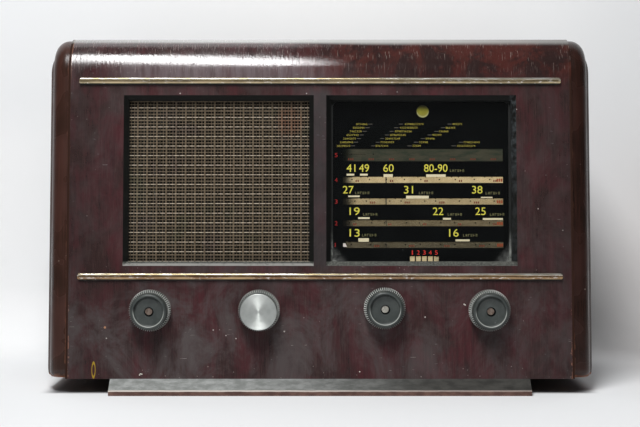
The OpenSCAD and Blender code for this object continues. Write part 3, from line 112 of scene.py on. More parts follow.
class Shade:
    """A value or a colour inside a material. Arithmetic on it adds Math nodes."""

    def __init__(self, tree, socket):
        self.tree, self.socket = tree, socket

    def node(self, kind, settings=None, inputs=None, out=0):
        made = self.tree.nodes.new("ShaderNode" + kind)
        for key, value in (settings or {}).items():
            setattr(made, key, value)
        for key, value in (inputs or {}).items():
            if isinstance(value, Shade):
                self.tree.links.new(value.socket, made.inputs[key])
            else:
                made.inputs[key].default_value = value
        return Shade(self.tree, made.outputs[out])

    def maths(self, operation, other=0.0):
        return self.node("Math", {"operation": operation}, {0: self, 1: other})

    def __add__(self, other):
        return self.maths("ADD", other)

    def __radd__(self, other):
        return self.maths("ADD", other)

    def __sub__(self, other):
        return self.maths("SUBTRACT", other)

    def __rsub__(self, other):
        return self.node("Math", {"operation": "SUBTRACT"}, {0: other, 1: self})

    def __mul__(self, other):
        return self.maths("MULTIPLY", other)

    def __rmul__(self, other):
        return self.maths("MULTIPLY", other)

    def __truediv__(self, other):
        return self.maths("DIVIDE", other)

    def __pow__(self, other):
        return self.maths("POWER", other)

    def __gt__(self, other):
        return self.maths("GREATER_THAN", other)

    def __lt__(self, other):
        return self.maths("LESS_THAN", other)

    def __abs__(self):
        return self.maths("ABSOLUTE")


def finish(name, **sockets):
    """A new material, its shader, and the place on the piece, in the shared frame."""
    material = bpy.data.materials.new(name)
    material.use_nodes = True
    tree = material.node_tree
    shader = tree.nodes["Principled BSDF"]
    for key, value in sockets.items():
        shader.inputs[key.replace("_", " ")].default_value = value
    return material, shader, Shade(tree, tree.nodes.new("ShaderNodeTexCoord").outputs["Object"])


def feed(shader, **values):
    for key, value in values.items():
        value.tree.links.new(value.socket, shader.inputs[key.replace("_", " ")])


def overlaid(material, shader, share, other):
    """A second shader laid over a material's own, by a share."""
    tree = material.node_tree
    both = share.node("MixShader", inputs={0: share, 1: Shade(tree, shader.outputs[0]), 2: other})
    tree.links.new(both.socket, tree.nodes["Material Output"].inputs["Surface"])


def axes(place):
    split = place.node("SeparateXYZ", inputs={0: place}).socket.node
    return [Shade(place.tree, s) for s in split.outputs]


def between(value, low, high, lo=0.0, hi=1.0):
    """A smooth rise from lo, where value is low, to hi, where value is high."""
    return value.node("MapRange", {"interpolation_type": "SMOOTHSTEP"},
                      {"Value": value, "From Min": low, "From Max": high, "To Min": lo, "To Max": hi})


def paint(colour):
    return colour if isinstance(colour, Shade) else (*colour, 1)


def mixed(share, first, second):
    """Two colours blended by a share."""
    return share.node("Mix", {"data_type": "RGBA"}, {0: share, 6: paint(first), 7: paint(second)}, out=2)


def layered(colour, *coats):
    """Coats laid over a colour in turn, each by its own share."""
    for share, coat in coats:
        colour = mixed(share, colour, coat)
    return colour


# Painted light and shade on the paper: a pool of light on the wall behind, shade to the right, at the front
# and at the left, and a shadow under the set.
paper_finish, shader, place = finish("white_paper", Roughness=0.9, Specular_IOR_Level=0.1)
x, y, z = axes(place)
away = (x - 0.03) / 0.26
glow_spot = (away * away * -1.0).maths("EXPONENT") * between(z, 0.25, 0.42)
near = between(y, -0.12, -0.34) * between(x, 0.5, -0.3, 0.8, 1.0)
painted_shade_right = mixed(between(z, 0.34, 0.10), (0.82, 0.83, 0.84), (0.78, 0.75, 0.74))
painted_shade_left_wall = between(x, -0.26, -0.36) * between(z, 0.30, 0.22) * between(y, 0.10, 0.20)
painted_shadow_under_set = between(abs(x), 0.266, 0.246) * between(y, -0.108, -0.096) * between(y, 0.13, 0.11)
tone = layered(
    mixed(glow_spot, (0.87, 0.88, 0.89), (0.985, 0.988, 0.99)),
    (between(x, 0.26, 0.40) * 0.8, painted_shade_right),
    (near, (0.78, 0.785, 0.795)),
    (painted_shade_left_wall, (0.93, 0.935, 0.94)),
    (between(x, -0.22, -0.42) * between(y, -0.05, -0.25), (0.68, 0.685, 0.695)),
    (painted_shadow_under_set, (0.16, 0.16, 0.17)),
)
feed(shader, Base_Color=tone)
overlaid(paper_finish, shader, place.node("NewGeometry", out="Backfacing"), place.node("BsdfTransparent"))
paper.data.materials.append(paper_finish)

# Plywood front and roof: one sheet, bent at the top edge, faced with dark red-brown veneer whose grain
# runs up the front and over the bend. Two bevelled openings and four shaft holes are cut through it.
LEAN = math.radians(6)
FOOT = (-0.106115, 0.014)
PLY, BEND, INNER_HALF = 0.010, 0.036, 0.239
BEND_AT, BACK, TOP = (-0.03985, 0.300), 0.123885, 0.336
OPEN_FOOT, OPEN_LEN, OPEN_W, BEVEL = 0.10598, 0.16209, 0.1803, 0.0044
SPEAKER_X, DIAL_X = -0.09605, 0.09605
SHAFTS = [(-0.159, 0.0785), (-0.057, 0.0785), (0.0605, 0.0805), (0.1586, 0.0785)]
SHAFT_HOLE, SHAFT_HOLE_STEPS, HOLES_CUT_FROM, HOLES_CUT_TO = 0.006, 32, -0.13, -0.05
CLEAR, SEAM_GAP, BEND_STEPS = 0.001, 0.0015, 48
on_face = Matrix((
    (1, 0, 0, 0),
    (0, math.cos(LEAN), math.sin(LEAN), FOOT[0]),
    (0, -math.sin(LEAN), math.cos(LEAN), FOOT[1]),
    (0, 0, 0, 1),
))


def side_arc(radius, start, end, steps):
    return [(BEND_AT[0] + radius * math.cos(a), BEND_AT[1] + radius * math.sin(a))
            for a in [start + (end - start) * k / steps for k in range(steps + 1)]]


def face_yz(depth, up):
    p = on_face @ Vector((0, depth, up))
    return p.y, p.z


def closed(piece, merge=0.0):
    """Turns the faces of a closed shape outward, once points nearer than merge are joined."""
    shape = bmesh.new()
    shape.from_mesh(piece.data)
    if merge:
        bmesh.ops.remove_doubles(shape, verts=shape.verts, dist=merge)
    bmesh.ops.recalc_face_normals(shape, faces=shape.faces)
    shape.to_mesh(piece.data)
    shape.free()
    return piece


def smoothed(piece, sharp_from):
    piece.data.shade_smooth()
    piece.data.set_sharp_from_angle(angle=math.radians(sharp_from))


def ringed(name, rings):
    """A closed shape through rings of points, capped at both ends."""
    count, last = len(rings[0]), len(rings) - 1
    faces = [tuple(range(count)), tuple(last * count + k for k in range(count - 1, -1, -1))]
    for first in range(0, last * count, count):
        for k, after in [(k, (k + 1) % count) for k in range(count)]:
            faces.append((first + k, first + count + k, first + count + after, first + after))
    return closed(mesh_piece(name, [p for ring in rings for p in ring], faces))


def made_mesh(piece):
    """A plain mesh of what a piece's modifiers, or its curve, make."""
    return bpy.data.meshes.new_from_object(piece.evaluated_get(bpy.context.evaluated_depsgraph_get()))


def cut(piece, cutter):
    step = piece.modifiers.new("cut", "BOOLEAN")
    step.operation, step.solver, step.object = "DIFFERENCE", "EXACT", cutter
    settled = made_mesh(piece)
    piece.modifiers.clear()
    piece.data = settled
    bpy.data.objects.remove(cutter)


def circle(x, z, radius, steps):
    return [(x + radius * math.cos(a), z + radius * math.sin(a))
            for a in [math.tau * k / steps for k in range(steps)]]


front_top = (BEND_AT[1] - FOOT[1]) / math.cos(LEAN) + BEND * math.tan(LEAN)
outer = side_arc(BEND, math.pi - LEAN, math.pi / 2, BEND_STEPS)
inner = side_arc(BEND - PLY, math.pi / 2, math.pi - LEAN, BEND_STEPS)
outline = [face_yz(0, 0), face_yz(0, front_top - SEAM_GAP)] + outer
outline += [(BEND_AT[0] + SEAM_GAP, TOP), (BACK, TOP), (BACK, TOP - PLY)] + inner + [face_yz(PLY, 0)]
shell = ringed("veneered_shell", [[(side * INNER_HALF, y, z) for y, z in outline] for side in (-1, 1)])
for middle in (SPEAKER_X, DIAL_X):
    rings = []
    for depth, grow in ((-CLEAR, CLEAR), (BEVEL, -BEVEL), (PLY + 2 * CLEAR, -BEVEL)):
        half, low, high = OPEN_W / 2 + grow, OPEN_FOOT - grow, OPEN_FOOT + OPEN_LEN + grow
        corners = ((-half, low), (half, low), (half, high), (-half, high))
        rings.append([on_face @ Vector((middle + across, depth, up)) for across, up in corners])
    cut(shell, ringed("opening_cutter", rings))
for shaft in SHAFTS:
    around = circle(*shaft, SHAFT_HOLE, SHAFT_HOLE_STEPS)
    ends = [[(px, y, pz) for px, pz in around] for y in (HOLES_CUT_FROM, HOLES_CUT_TO)]
    cut(shell, ringed("hole_cutter", ends))
smoothed(shell, 25)


def cloudy(place, size, detail, rough, turn=(0, 0, 0), shift=(0, 0, 0), warp=0.0):
    """Smooth noise. Its patches measure size: one length in metres, or one along each axis."""
    scale = [1 / s for s in (size if isinstance(size, tuple) else (size,) * 3)]
    moved = place.node("Mapping", inputs={0: place, "Rotation": turn, "Scale": scale, "Location": shift})
    return place.node("TexNoise", inputs={"Vector": moved, "Scale": 1.0, "Detail": detail,
                                          "Roughness": rough, "Distortion": warp})


def raised(height, strength, distance):
    return height.node("Bump", inputs={"Strength": strength, "Distance": distance, "Height": height})


def specks(place, cell, share, size, shift=(0, 0, 0)):
    """One dot in a share of the cells of a grid; cell and size are in metres."""
    moved = place.node("Mapping", inputs={0: place, "Scale": (1 / cell,) * 3, "Location": shift})
    near = place.node("TexVoronoi", inputs={"Vector": moved, "Scale": 1.0})
    spread = place.node("SeparateColor", inputs={0: Shade(place.tree, near.socket.node.outputs["Color"])})
    return (near < spread * (size / cell)) * (Shade(place.tree, spread.socket.node.outputs[1]) > 1 - share)


def from_mark(x, z, at, half):
    """Distance from a mark's centre, in halves of its width and height."""
    across, up = (x - at[0]) / half[0], (z - at[1]) / half[1]
    return (across * across + up * up) ** 0.5


YELLOW_RING = (-0.2125, 0.0222), (0.0017, 0.0072)
CHIP = (-0.2022, 0.0618), (0.0013, 0.0013)
CRUMBS = ((-0.1692, 0.0176), (-0.1672, 0.0184), (-0.1685, 0.0186), (0.0372, 0.0206), (0.1356, 0.0834),
          (0.1366, 0.0828))
CRUMB_HALF = (0.0007, 0.0006)
veneer, shader, place = finish("dark_veneer", IOR=1.66, Coat_IOR=1.5, Coat_Roughness=0.5)
x, y, z = axes(place)
run, edge_x = y + z, abs(x)
grain_place = place.node("CombineXYZ", inputs={0: x, 1: run, 2: 0.0})
fine = cloudy(grain_place, (0.0012, 0.030, 1), 5, 0.68, warp=0.2)
streak = cloudy(grain_place, (0.005, 0.10, 1), 4, 0.6, shift=(3, 1, 0))
patch = cloudy(grain_place, (0.030, 0.050, 1), 6, 0.68, shift=(7, 5, 0), warp=0.6)
haze = cloudy(grain_place, (0.045, 0.075, 1), 6, 0.70, shift=(1, 9, 0), warp=0.5)
low = between(z, 0.135, 0.085)
greyed = between(haze, 0.40, 0.66) * (0.30 + low * between(x, 0.20, -0.20, 0.15, 0.80))
on_bend = between(run, 0.205, 0.255)
lines = cloudy(grain_place, (0.00060, 0.016, 1), 3, 0.6, shift=(5, 5, 0))
craze = between(lines, 0.60, 0.66) * (0.10 + on_bend * 0.90)
ripple = cloudy(grain_place, (0.0020, 0.007, 1), 3, 0.6, shift=(6, 2, 0))
hairs = cloudy(grain_place, (0.010, 0.0008, 1), 2, 0.5, turn=(0, 0, 0.5), shift=(8, 3, 0))
scratch = between(hairs, 0.71, 0.75) * between(haze, 0.50, 0.58)
ring = from_mark(x, z, *YELLOW_RING)
crumbs = [(between(from_mark(x, z, at, CRUMB_HALF), 1.0, 0.7), (0.75, 0.72, 0.65)) for at in CRUMBS]
ragged = cloudy(place, (0.003, 0.003, 0.006), 5, 0.75)
worn = between(edge_x + ragged * 0.008, 0.2400, 0.2412) * between(z, 0.095, 0.060)
worn = worn * between(cloudy(place, 0.012, 4, 0.7, shift=(2, 2, 2)), 0.42, 0.54)
# A painted sheen: paler colour just below the highlight on the bend, over its left half.
painted_sheen_below_highlight = between(z, 0.288, 0.299) * between(z, 0.316, 0.308)
painted_sheen_below_highlight = painted_sheen_below_highlight * between(x, -0.22, -0.15) * between(x, 0.05, -0.02)
lip = between(edge_x, 0.2366, 0.2371)
seam = between(edge_x + ragged * 0.0010, 0.2364, 0.2368) * between(edge_x + ragged * 0.0010, 0.2375, 0.2371)
seam = seam * between(run, 0.20, 0.27, 0.0, 0.75) * between(ragged, 0.35, 0.55, 0.35, 1.0)
pillar = between(edge_x, 0.0120, 0.0070) * between(z, 0.110, 0.125) * between(z, 0.29, 0.28)
dulled = between(run, 0.200, 0.238) * between(x, -0.045, 0.034) * between(run, 0.36, 0.31)
blush = mixed(between(patch, 0.42, 0.60), (0.020, 0.010, 0.009), (0.062, 0.017, 0.012))
cracks = cloudy(grain_place, (0.00075, 0.020, 1), 2, 0.5, shift=(2, 6, 0))
cracks = between(cracks, 0.655, 0.69) * on_bend * between(haze, 0.38, 0.50)
# The top of the bend is painted pale grey, less towards the ends and reaching lower on the right.
settled = between(z, between(x, -0.02, 0.06, 0.3300, 0.3282), 0.3336) * between(edge_x, 0.25, 0.05, 0.55, 1.0)
brown = layered(
    mixed(between(patch, 0.38, 0.64), (0.032, 0.014, 0.013), (0.062, 0.014, 0.017)),
    (between(streak, 0.40, 0.75) * 0.7, (0.020, 0.010, 0.010)),
    (between(fine, 0.50, 0.72) * 0.45, (0.085, 0.050, 0.045)),
    (between(fine, 0.46, 0.30) * 0.38, (0.014, 0.007, 0.008)),
    (greyed, (0.062, 0.047, 0.046)),
    (craze * 0.55, (0.26, 0.21, 0.20)),
    (scratch * 0.7, (0.30, 0.26, 0.25)),
    (specks(place, 0.011, 0.30, 0.0008) * 0.8, (0.50, 0.45, 0.42)),
    (specks(place, 0.005, 0.22, 0.0006, shift=(4, 4, 4)) * 0.5, (0.30, 0.24, 0.22)),
    (between(ring, 0.66, 0.80) * between(ring, 1.18, 1.04) * 0.8, (0.50, 0.33, 0.02)),
    (between(from_mark(x, z, *CHIP), 1.0, 0.6), (0.45, 0.22, 0.12)),
    *crumbs,
    (worn, (0.30, 0.095, 0.035)),
    # painted shade, darker towards both ends of the front
    (between(edge_x, 0.17, 0.235) * 0.35, (0.016, 0.009, 0.008)),
    (painted_sheen_below_highlight * between(streak, 0.35, 0.65, 0.35, 0.8), (0.165, 0.130, 0.138)),
    (lip, (0.030, 0.014, 0.010)),
    (seam, mixed(x > 0, (0.24, 0.10, 0.05), (0.13, 0.105, 0.09))),
    (pillar * 0.6, (0.030, 0.029, 0.030)),
    (dulled * 0.72, blush),
    (cracks * 0.8, (0.27, 0.215, 0.19)),
    (settled, (0.42, 0.42, 0.405)),
)
sheen = between(haze, 0.3, 0.7, 0.12, 0.20) + craze * 0.45 + worn * 0.4 + scratch * 0.3 + lip * 0.35
relief = fine * 0.25 + craze * -0.5 + scratch * -0.5 + ripple * on_bend * 1.6
feed(shader, Base_Color=brown, Roughness=sheen, Normal=raised(relief, 0.4, 0.0003),
     Coat_Weight=between(haze, 0.35, 0.70, 0.10, 0.55) * (0.55 + low * 0.45))
flat_coat = {"Base Color": brown, "Roughness": 0.7, "Specular IOR Level": 0.04}
overlaid(veneer, shader, dulled.maths("MAXIMUM", lip), place.node("BsdfPrincipled", inputs=flat_coat))

EDGE_HALF = 0.083
edge_black, shader, place = finish("stained_opening_edge", Specular_IOR_Level=0.2)
x, y, z = axes(place)
rub = cloudy(place, 0.006, 5, 0.7)
film = cloudy(place, 0.0015, 3, 0.6)
front_line = between(z, 0.1219, 0.1213) * between(rub, 0.30, 0.50, 0.3, 1.0) * (x < 0)
# A painted highlight: a thin paler blue-grey line down the dial opening's right bevel, patchy, fuller higher
# up.
painted_highlight_right_bevel = between(x, DIAL_X + EDGE_HALF, DIAL_X + EDGE_HALF + 0.0015) * between(rub, 0.40, 0.62)
painted_highlight_right_bevel = painted_highlight_right_bevel * between(z, 0.17, 0.23, 0.4, 1.0)
# Painted shade: the dial opening's left bevel, turned from the light, is darker still.
painted_shade_dial_left = between(x, DIAL_X - EDGE_HALF, DIAL_X - EDGE_HALF - 0.0015) * (x > 0)
foot_film = mixed(between(film, 0.35, 0.65), (0.040, 0.043, 0.037), (0.11, 0.112, 0.10))
stain_and_painted_light = layered(
    mixed(between(rub, 0.45, 0.8), (0.0040, 0.0042, 0.0036), (0.012, 0.012, 0.010)),
    (painted_highlight_right_bevel * 0.8, (0.042, 0.049, 0.052)),
    (painted_shade_dial_left * 0.8, (0.0012, 0.0013, 0.0013)),
    (between(z, 0.1238, 0.1228), foot_film),
    (front_line, (0.25, 0.245, 0.23)),
)
feed(shader, Base_Color=stain_and_painted_light, Roughness=between(rub, 0.3, 0.7, 0.50, 0.70), Normal=raised(film, 0.2, 0.0002))
shell.data.materials.clear()
shell.data.materials.append(veneer)
shell.data.materials.append(edge_black)
to_face = on_face.inverted()
SKIN = 0.0004
for polygon in shell.data.polygons:
    local = to_face @ polygon.center
    inside = any(abs(local.x - c) < OPEN_W / 2 + CLEAR for c in (SPEAKER_X, DIAL_X))
    inside = inside and OPEN_FOOT - CLEAR < local.z < OPEN_FOOT + OPEN_LEN + CLEAR
    if inside and SKIN < local.y < PLY - SKIN:
        polygon.material_index = 1
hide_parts("front_roof_shell")
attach(shell, "cabinet")

# Cheeks: one shaped board at each end, its moulding run right round the front and the top in two layers,
# a broad round and a thin outer bead. Stained darker than the front, rubbed along the edges.
CHEEK_W, DROP, INNER_WALL, ROUND, STEP = 0.021, 0.0015, 0.006, 0.0135, 0.001
LAYER_W, LAYER_H, CHEEK_FOOT, FOOT_FROM, FOOT_TO = 0.0043, 0.013, 0.008, 270, 174
layer_r = (LAYER_W ** 2 + LAYER_H ** 2) / (2 * LAYER_W)
layer_x = CHEEK_W - LAYER_W
section = [(0.0, DROP + INNER_WALL), (0.0, DROP)]
section += [(layer_x - ROUND + ROUND * math.sin(a), DROP + ROUND * (1 - math.cos(a)))
            for a in [math.radians(5 * k) for k in range(19)]]
section += [(CHEEK_W - layer_r * (1 - math.cos(a)), DROP + ROUND + STEP + LAYER_H - layer_r * math.sin(a))
            for a in [math.asin(LAYER_H / layer_r) * k / 10 for k in range(10, -1, -1)]]


def cheek_outline(inset):
    foot_z = FOOT[1] + CHEEK_FOOT
    y_in = FOOT[0] + (foot_z - FOOT[1]) * math.tan(LEAN) + (inset + CHEEK_FOOT) / math.cos(LEAN)
    foot = [(y_in + CHEEK_FOOT * math.cos(a), foot_z + CHEEK_FOOT * math.sin(a))
            for a in [math.radians(FOOT_FROM + (FOOT_TO - FOOT_FROM) * k / 12) for k in range(13)]]
    bend = side_arc(BEND - inset, math.pi - LEAN, math.pi / 2, 40)
    return [(BACK, FOOT[1])] + foot + bend + [(BACK, TOP - inset)]


def cheek_finish(name, dark, light):
    made, shader, place = finish(name, Specular_IOR_Level=0.3)
    x, y, z = axes(place)
    edge_x = abs(x)
    grain_place = place.node("CombineXYZ", inputs={0: x, 1: y + z, 2: y})
    fine = cloudy(grain_place, (0.0010, 0.05, 0.02), 5, 0.6)
    patch = cloudy(grain_place, (0.03, 0.05, 0.05), 2, 0.5, shift=(4, 4, 4))
    joint = between(edge_x + cloudy(place, (0.003, 0.003, 0.012), 4, 0.7) * 0.004, 0.2422, 0.2408)
    joint = joint * between(cloudy(place, 0.03, 3, 0.6, shift=(8, 2, 2)), 0.44, 0.58)
    joint = joint * (0.22 + between(z, 0.100, 0.055) * 0.78)
    foot_wear = between(z + cloudy(place, 0.008, 4, 0.7) * 0.012, 0.0245, 0.0195)
    worn = (joint + foot_wear).maths("MINIMUM", 1.0)
    brown = layered(
        mixed(between(patch, 0.35, 0.65), dark, light),
        (between(fine, 0.45, 0.8) * 0.6, [c * 1.6 for c in light]),
        (specks(place, 0.009, 0.4, 0.0010, shift=(3, 3, 3)) * 0.6, (0.30, 0.24, 0.20)),
        (worn, (0.24, 0.085, 0.038)),
    )
    rough = between(patch, 0.3, 0.7, 0.20, 0.34) + worn * 0.4 + between(edge_x, 0.2550, 0.2580) * 0.25
    feed(shader, Base_Color=brown, Roughness=rough, Normal=raised(fine, 0.2, 0.0002))
    return made


# The right cheek's colours are the left's darkened: painted shade on the side turned from the light.
CHEEK_LOOKS = {
    "left_cheek": ((0.026, 0.012, 0.008), (0.046, 0.018, 0.013)),
    "right_cheek": ((0.014, 0.006, 0.004), (0.028, 0.010, 0.007)),
}
for side, name in ((-1, "left_cheek"), (1, "right_cheek")):
    rings = [[(side * (INNER_HALF + out), y, z) for y, z in cheek_outline(inset)] for out, inset in section]
    cheek = ringed("shaped_" + name, rings)
    smoothed(cheek, 35)
    cheek.data.materials.append(cheek_finish("dark_" + name, *CHEEK_LOOKS[name]))
    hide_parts(name)
    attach(cheek, "cabinet")


# Floor board, glue blocks and battens: plain softwood and plywood, left unfinished inside the cabinet.
# The grain runs across the cabinet.
def dress(finished, *names):
    for name in names:
        for slot in nodes[name].material_slots:
            slot.material = finished


raw_wood, shader, place = finish("raw_wood", Specular_IOR_Level=0.25)
growth = cloudy(place, (0.15, 0.004, 0.004), 4, 0.6)
pore = cloudy(place, (0.02, 0.0006, 0.0006), 3, 0.5)
colour = layered(
    mixed(between(growth, 0.35, 0.7), (0.36, 0.22, 0.12), (0.22, 0.12, 0.06)),
    (between(pore, 0.6, 0.8) * 0.5, (0.10, 0.055, 0.03)),
)
feed(shader, Base_Color=colour, Roughness=between(growth, 0.3, 0.7, 0.70, 0.85),
     Normal=raised(pore, 0.4, 0.0003))
dress(raw_wood, "floor_board", "battens")

# Plinth rails: a low rail under the front edge, an upright lip and a slope that catches the dust, and a
# plain rail under the back. Stained red-brown, the lip's upper edge rubbed bright.
plinth_finish, shader, place = finish("plinth_stain", Specular_IOR_Level=0.4)
x, y, z = axes(place)
mottle = cloudy(place, (0.012, 0.006, 0.006), 5, 0.65)
blotch = between(mottle, 0.35, 0.7)
drift = x + cloudy(place, (0.05, 0.012, 0.012), 5, 0.7) * 0.10
sweepings = mixed(blotch, (0.19, 0.20, 0.19), (0.34, 0.35, 0.34))
bare = mixed(blotch, (0.022, 0.021, 0.018), (0.050, 0.048, 0.042))
rub = between(z + mottle * 0.0012, 0.0044, 0.0048) * between(z + mottle * 0.0012, 0.0060, 0.0054)
colour = layered(
    mixed(blotch, (0.075, 0.034, 0.026), (0.16, 0.085, 0.065)),
    (between(z, 0.0046, 0.0054), mixed(between(drift, -0.06, 0.18), sweepings, bare)),
    (rub * between(drift, 0.20, -0.05, 0.35, 1.0), (0.60, 0.55, 0.50)),
)
feed(shader, Base_Color=colour, Roughness=between(mottle, 0.3, 0.7, 0.50, 0.70),
     Normal=raised(mottle, 0.3, 0.0003))
dress(plinth_finish, "front_plinth", "rear_plinth")


# Trims: two reeded strips of drawn brass, plated once and worn to pale and golden patches; each is duller and
# darker below its top bead, and its bottom edge is painted near black: painted shade under the strip.
def trim_finish(name, dull_light, dull_dark):
    made, shader, place = finish("worn_brass_of_" + name, Specular_IOR_Level=0.5)
    x, y, z = axes(place)
    low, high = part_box(name)
    up = (z - low[2]) / (high[2] - low[2])
    wear = cloudy(place, (0.020, 0.0012, 0.0012), 6, 0.75)
    stretch = cloudy(place, (0.035, 0.004, 0.004), 5, 0.70, shift=(6, 0, 2))
    flakes = cloudy(place, (0.005, 0.0016, 0.0016), 4, 0.7, shift=(3, 3, 3))
    plated = between(wear, 0.46, 0.62) + between(x, 0.02, 0.12) * 0.35
    dull = layered(
        mixed(between(stretch, 0.38, 0.60), dull_light, dull_dark),
        (between(flakes, 0.56, 0.62) * between(stretch, 0.42, 0.52), (0.60, 0.58, 0.54)),
    )
    colour = layered(
        mixed(plated, (0.24, 0.19, 0.10), (0.62, 0.60, 0.55)),
        (between(up + wear * 0.12, 0.84, 0.72), dull),
        # painted shade along the bottom edge
        (between(up, 0.24, 0.17), (0.006, 0.005, 0.004)),
    )
    feed(shader, Base_Color=colour, Metallic=between(up, 0.60, 0.80, 0.2, 0.7),
         Roughness=between(up, 0.60, 0.80, 0.60, 0.20), Normal=raised(wear, 0.25, 0.0002))
    return made


dress(trim_finish("upper_trim", (0.34, 0.27, 0.155), (0.17, 0.130, 0.068)), "upper_trim")
dress(trim_finish("lower_trim", (0.34, 0.23, 0.11), (0.15, 0.075, 0.030)), "lower_trim")

# Speaker: a board stained dark behind the cloth carries a pressed basket, its magnet and a paper cone
# with a corrugated edge, held by four small bolts.
def mottled(name, size, dark, light, rough, steep=None, relief=None, detail=4, rise=0.6, **sockets):
    """A finish in patches of two colours, which blend evenly or over the range of steep."""
    made, shader, place = finish(name, **sockets)
    patches = cloudy(place, size, detail, rise)
    feed(shader, Base_Color=mixed(between(patches, *steep) if steep else patches, dark, light),
         Roughness=between(patches, 0.3, 0.7, *rough))
    if relief:
        feed(shader, Normal=raised(patches, *relief))
    return made


baffle_finish = mottled("stained_baffle", (0.02, 0.02, 0.05), (0.0006, 0.0005, 0.0004),
                        (0.0020, 0.0014, 0.0010), (0.8, 0.95), Specular_IOR_Level=0.2)
dress(baffle_finish, "baffle_board")
cone_finish = mottled("pressed_paper", 0.0006, (0.002, 0.0018, 0.0015), (0.008, 0.006, 0.005), (0.82, 0.95),
                      relief=(0.5, 0.0002), rise=0.7, Specular_IOR_Level=0.15)
dress(cone_finish, "speaker_cone", "cone_edge")

hammered, shader, place = finish("grey_hammered_paint", Specular_IOR_Level=0.5)
dimple = place.node("TexVoronoi", {"feature": "SMOOTH_F1"}, {"Vector": place, "Scale": 420.0})
feed(shader, Base_Color=mixed(between(dimple, 0.1, 0.7), (0.10, 0.11, 0.10), (0.20, 0.22, 0.21)),
     Roughness=between(dimple, 0.1, 0.7, 0.30, 0.45), Normal=raised(dimple, 0.4, 0.0004))
dress(hammered, "speaker_basket", "speaker_magnet")


def bare_metal(name, dark, light, rough, size=0.01):
    made, shader, place = finish(name, Metallic=1.0)
    spread = cloudy(place, size, 4, 0.6)
    lines = cloudy(place, (0.0004, 0.02, 0.0004), 3, 0.5)
    feed(shader, Base_Color=mixed(between(spread, 0.3, 0.7), dark, light),
         Roughness=between(spread, 0.3, 0.7, rough, rough + 0.18), Normal=raised(lines, 0.15, 0.0001))
    return made


steel = bare_metal("dull_steel", (0.32, 0.31, 0.29), (0.50, 0.50, 0.48), 0.32)
dress(bare_metal("blackened_bolt", (0.010, 0.010, 0.010), (0.028, 0.027, 0.025), 0.55), "speaker_bolts")

# Cloth: an open weave of grey-beige threads, stretched behind the speaker opening. Each third thread
# both ways is thicker; the thick cross threads are pale, the thick uprights dark.
PITCH, THREAD, SWING = 0.00306, 0.00040, 0.00028
UPRIGHTS, CROSSES = 62, 56
BOLD_UPRIGHT, BOLD_CROSS, BOLD_AHEAD = 2.15, 1.55, -0.00026
CLOTH_DEPTH, THREAD_FLATTENED = 0.0104, 0.8
UP_START = UPRIGHTS * PITCH / 2 - PITCH / 2
CROSS_START = (CROSSES * PITCH - OPEN_LEN) / 2


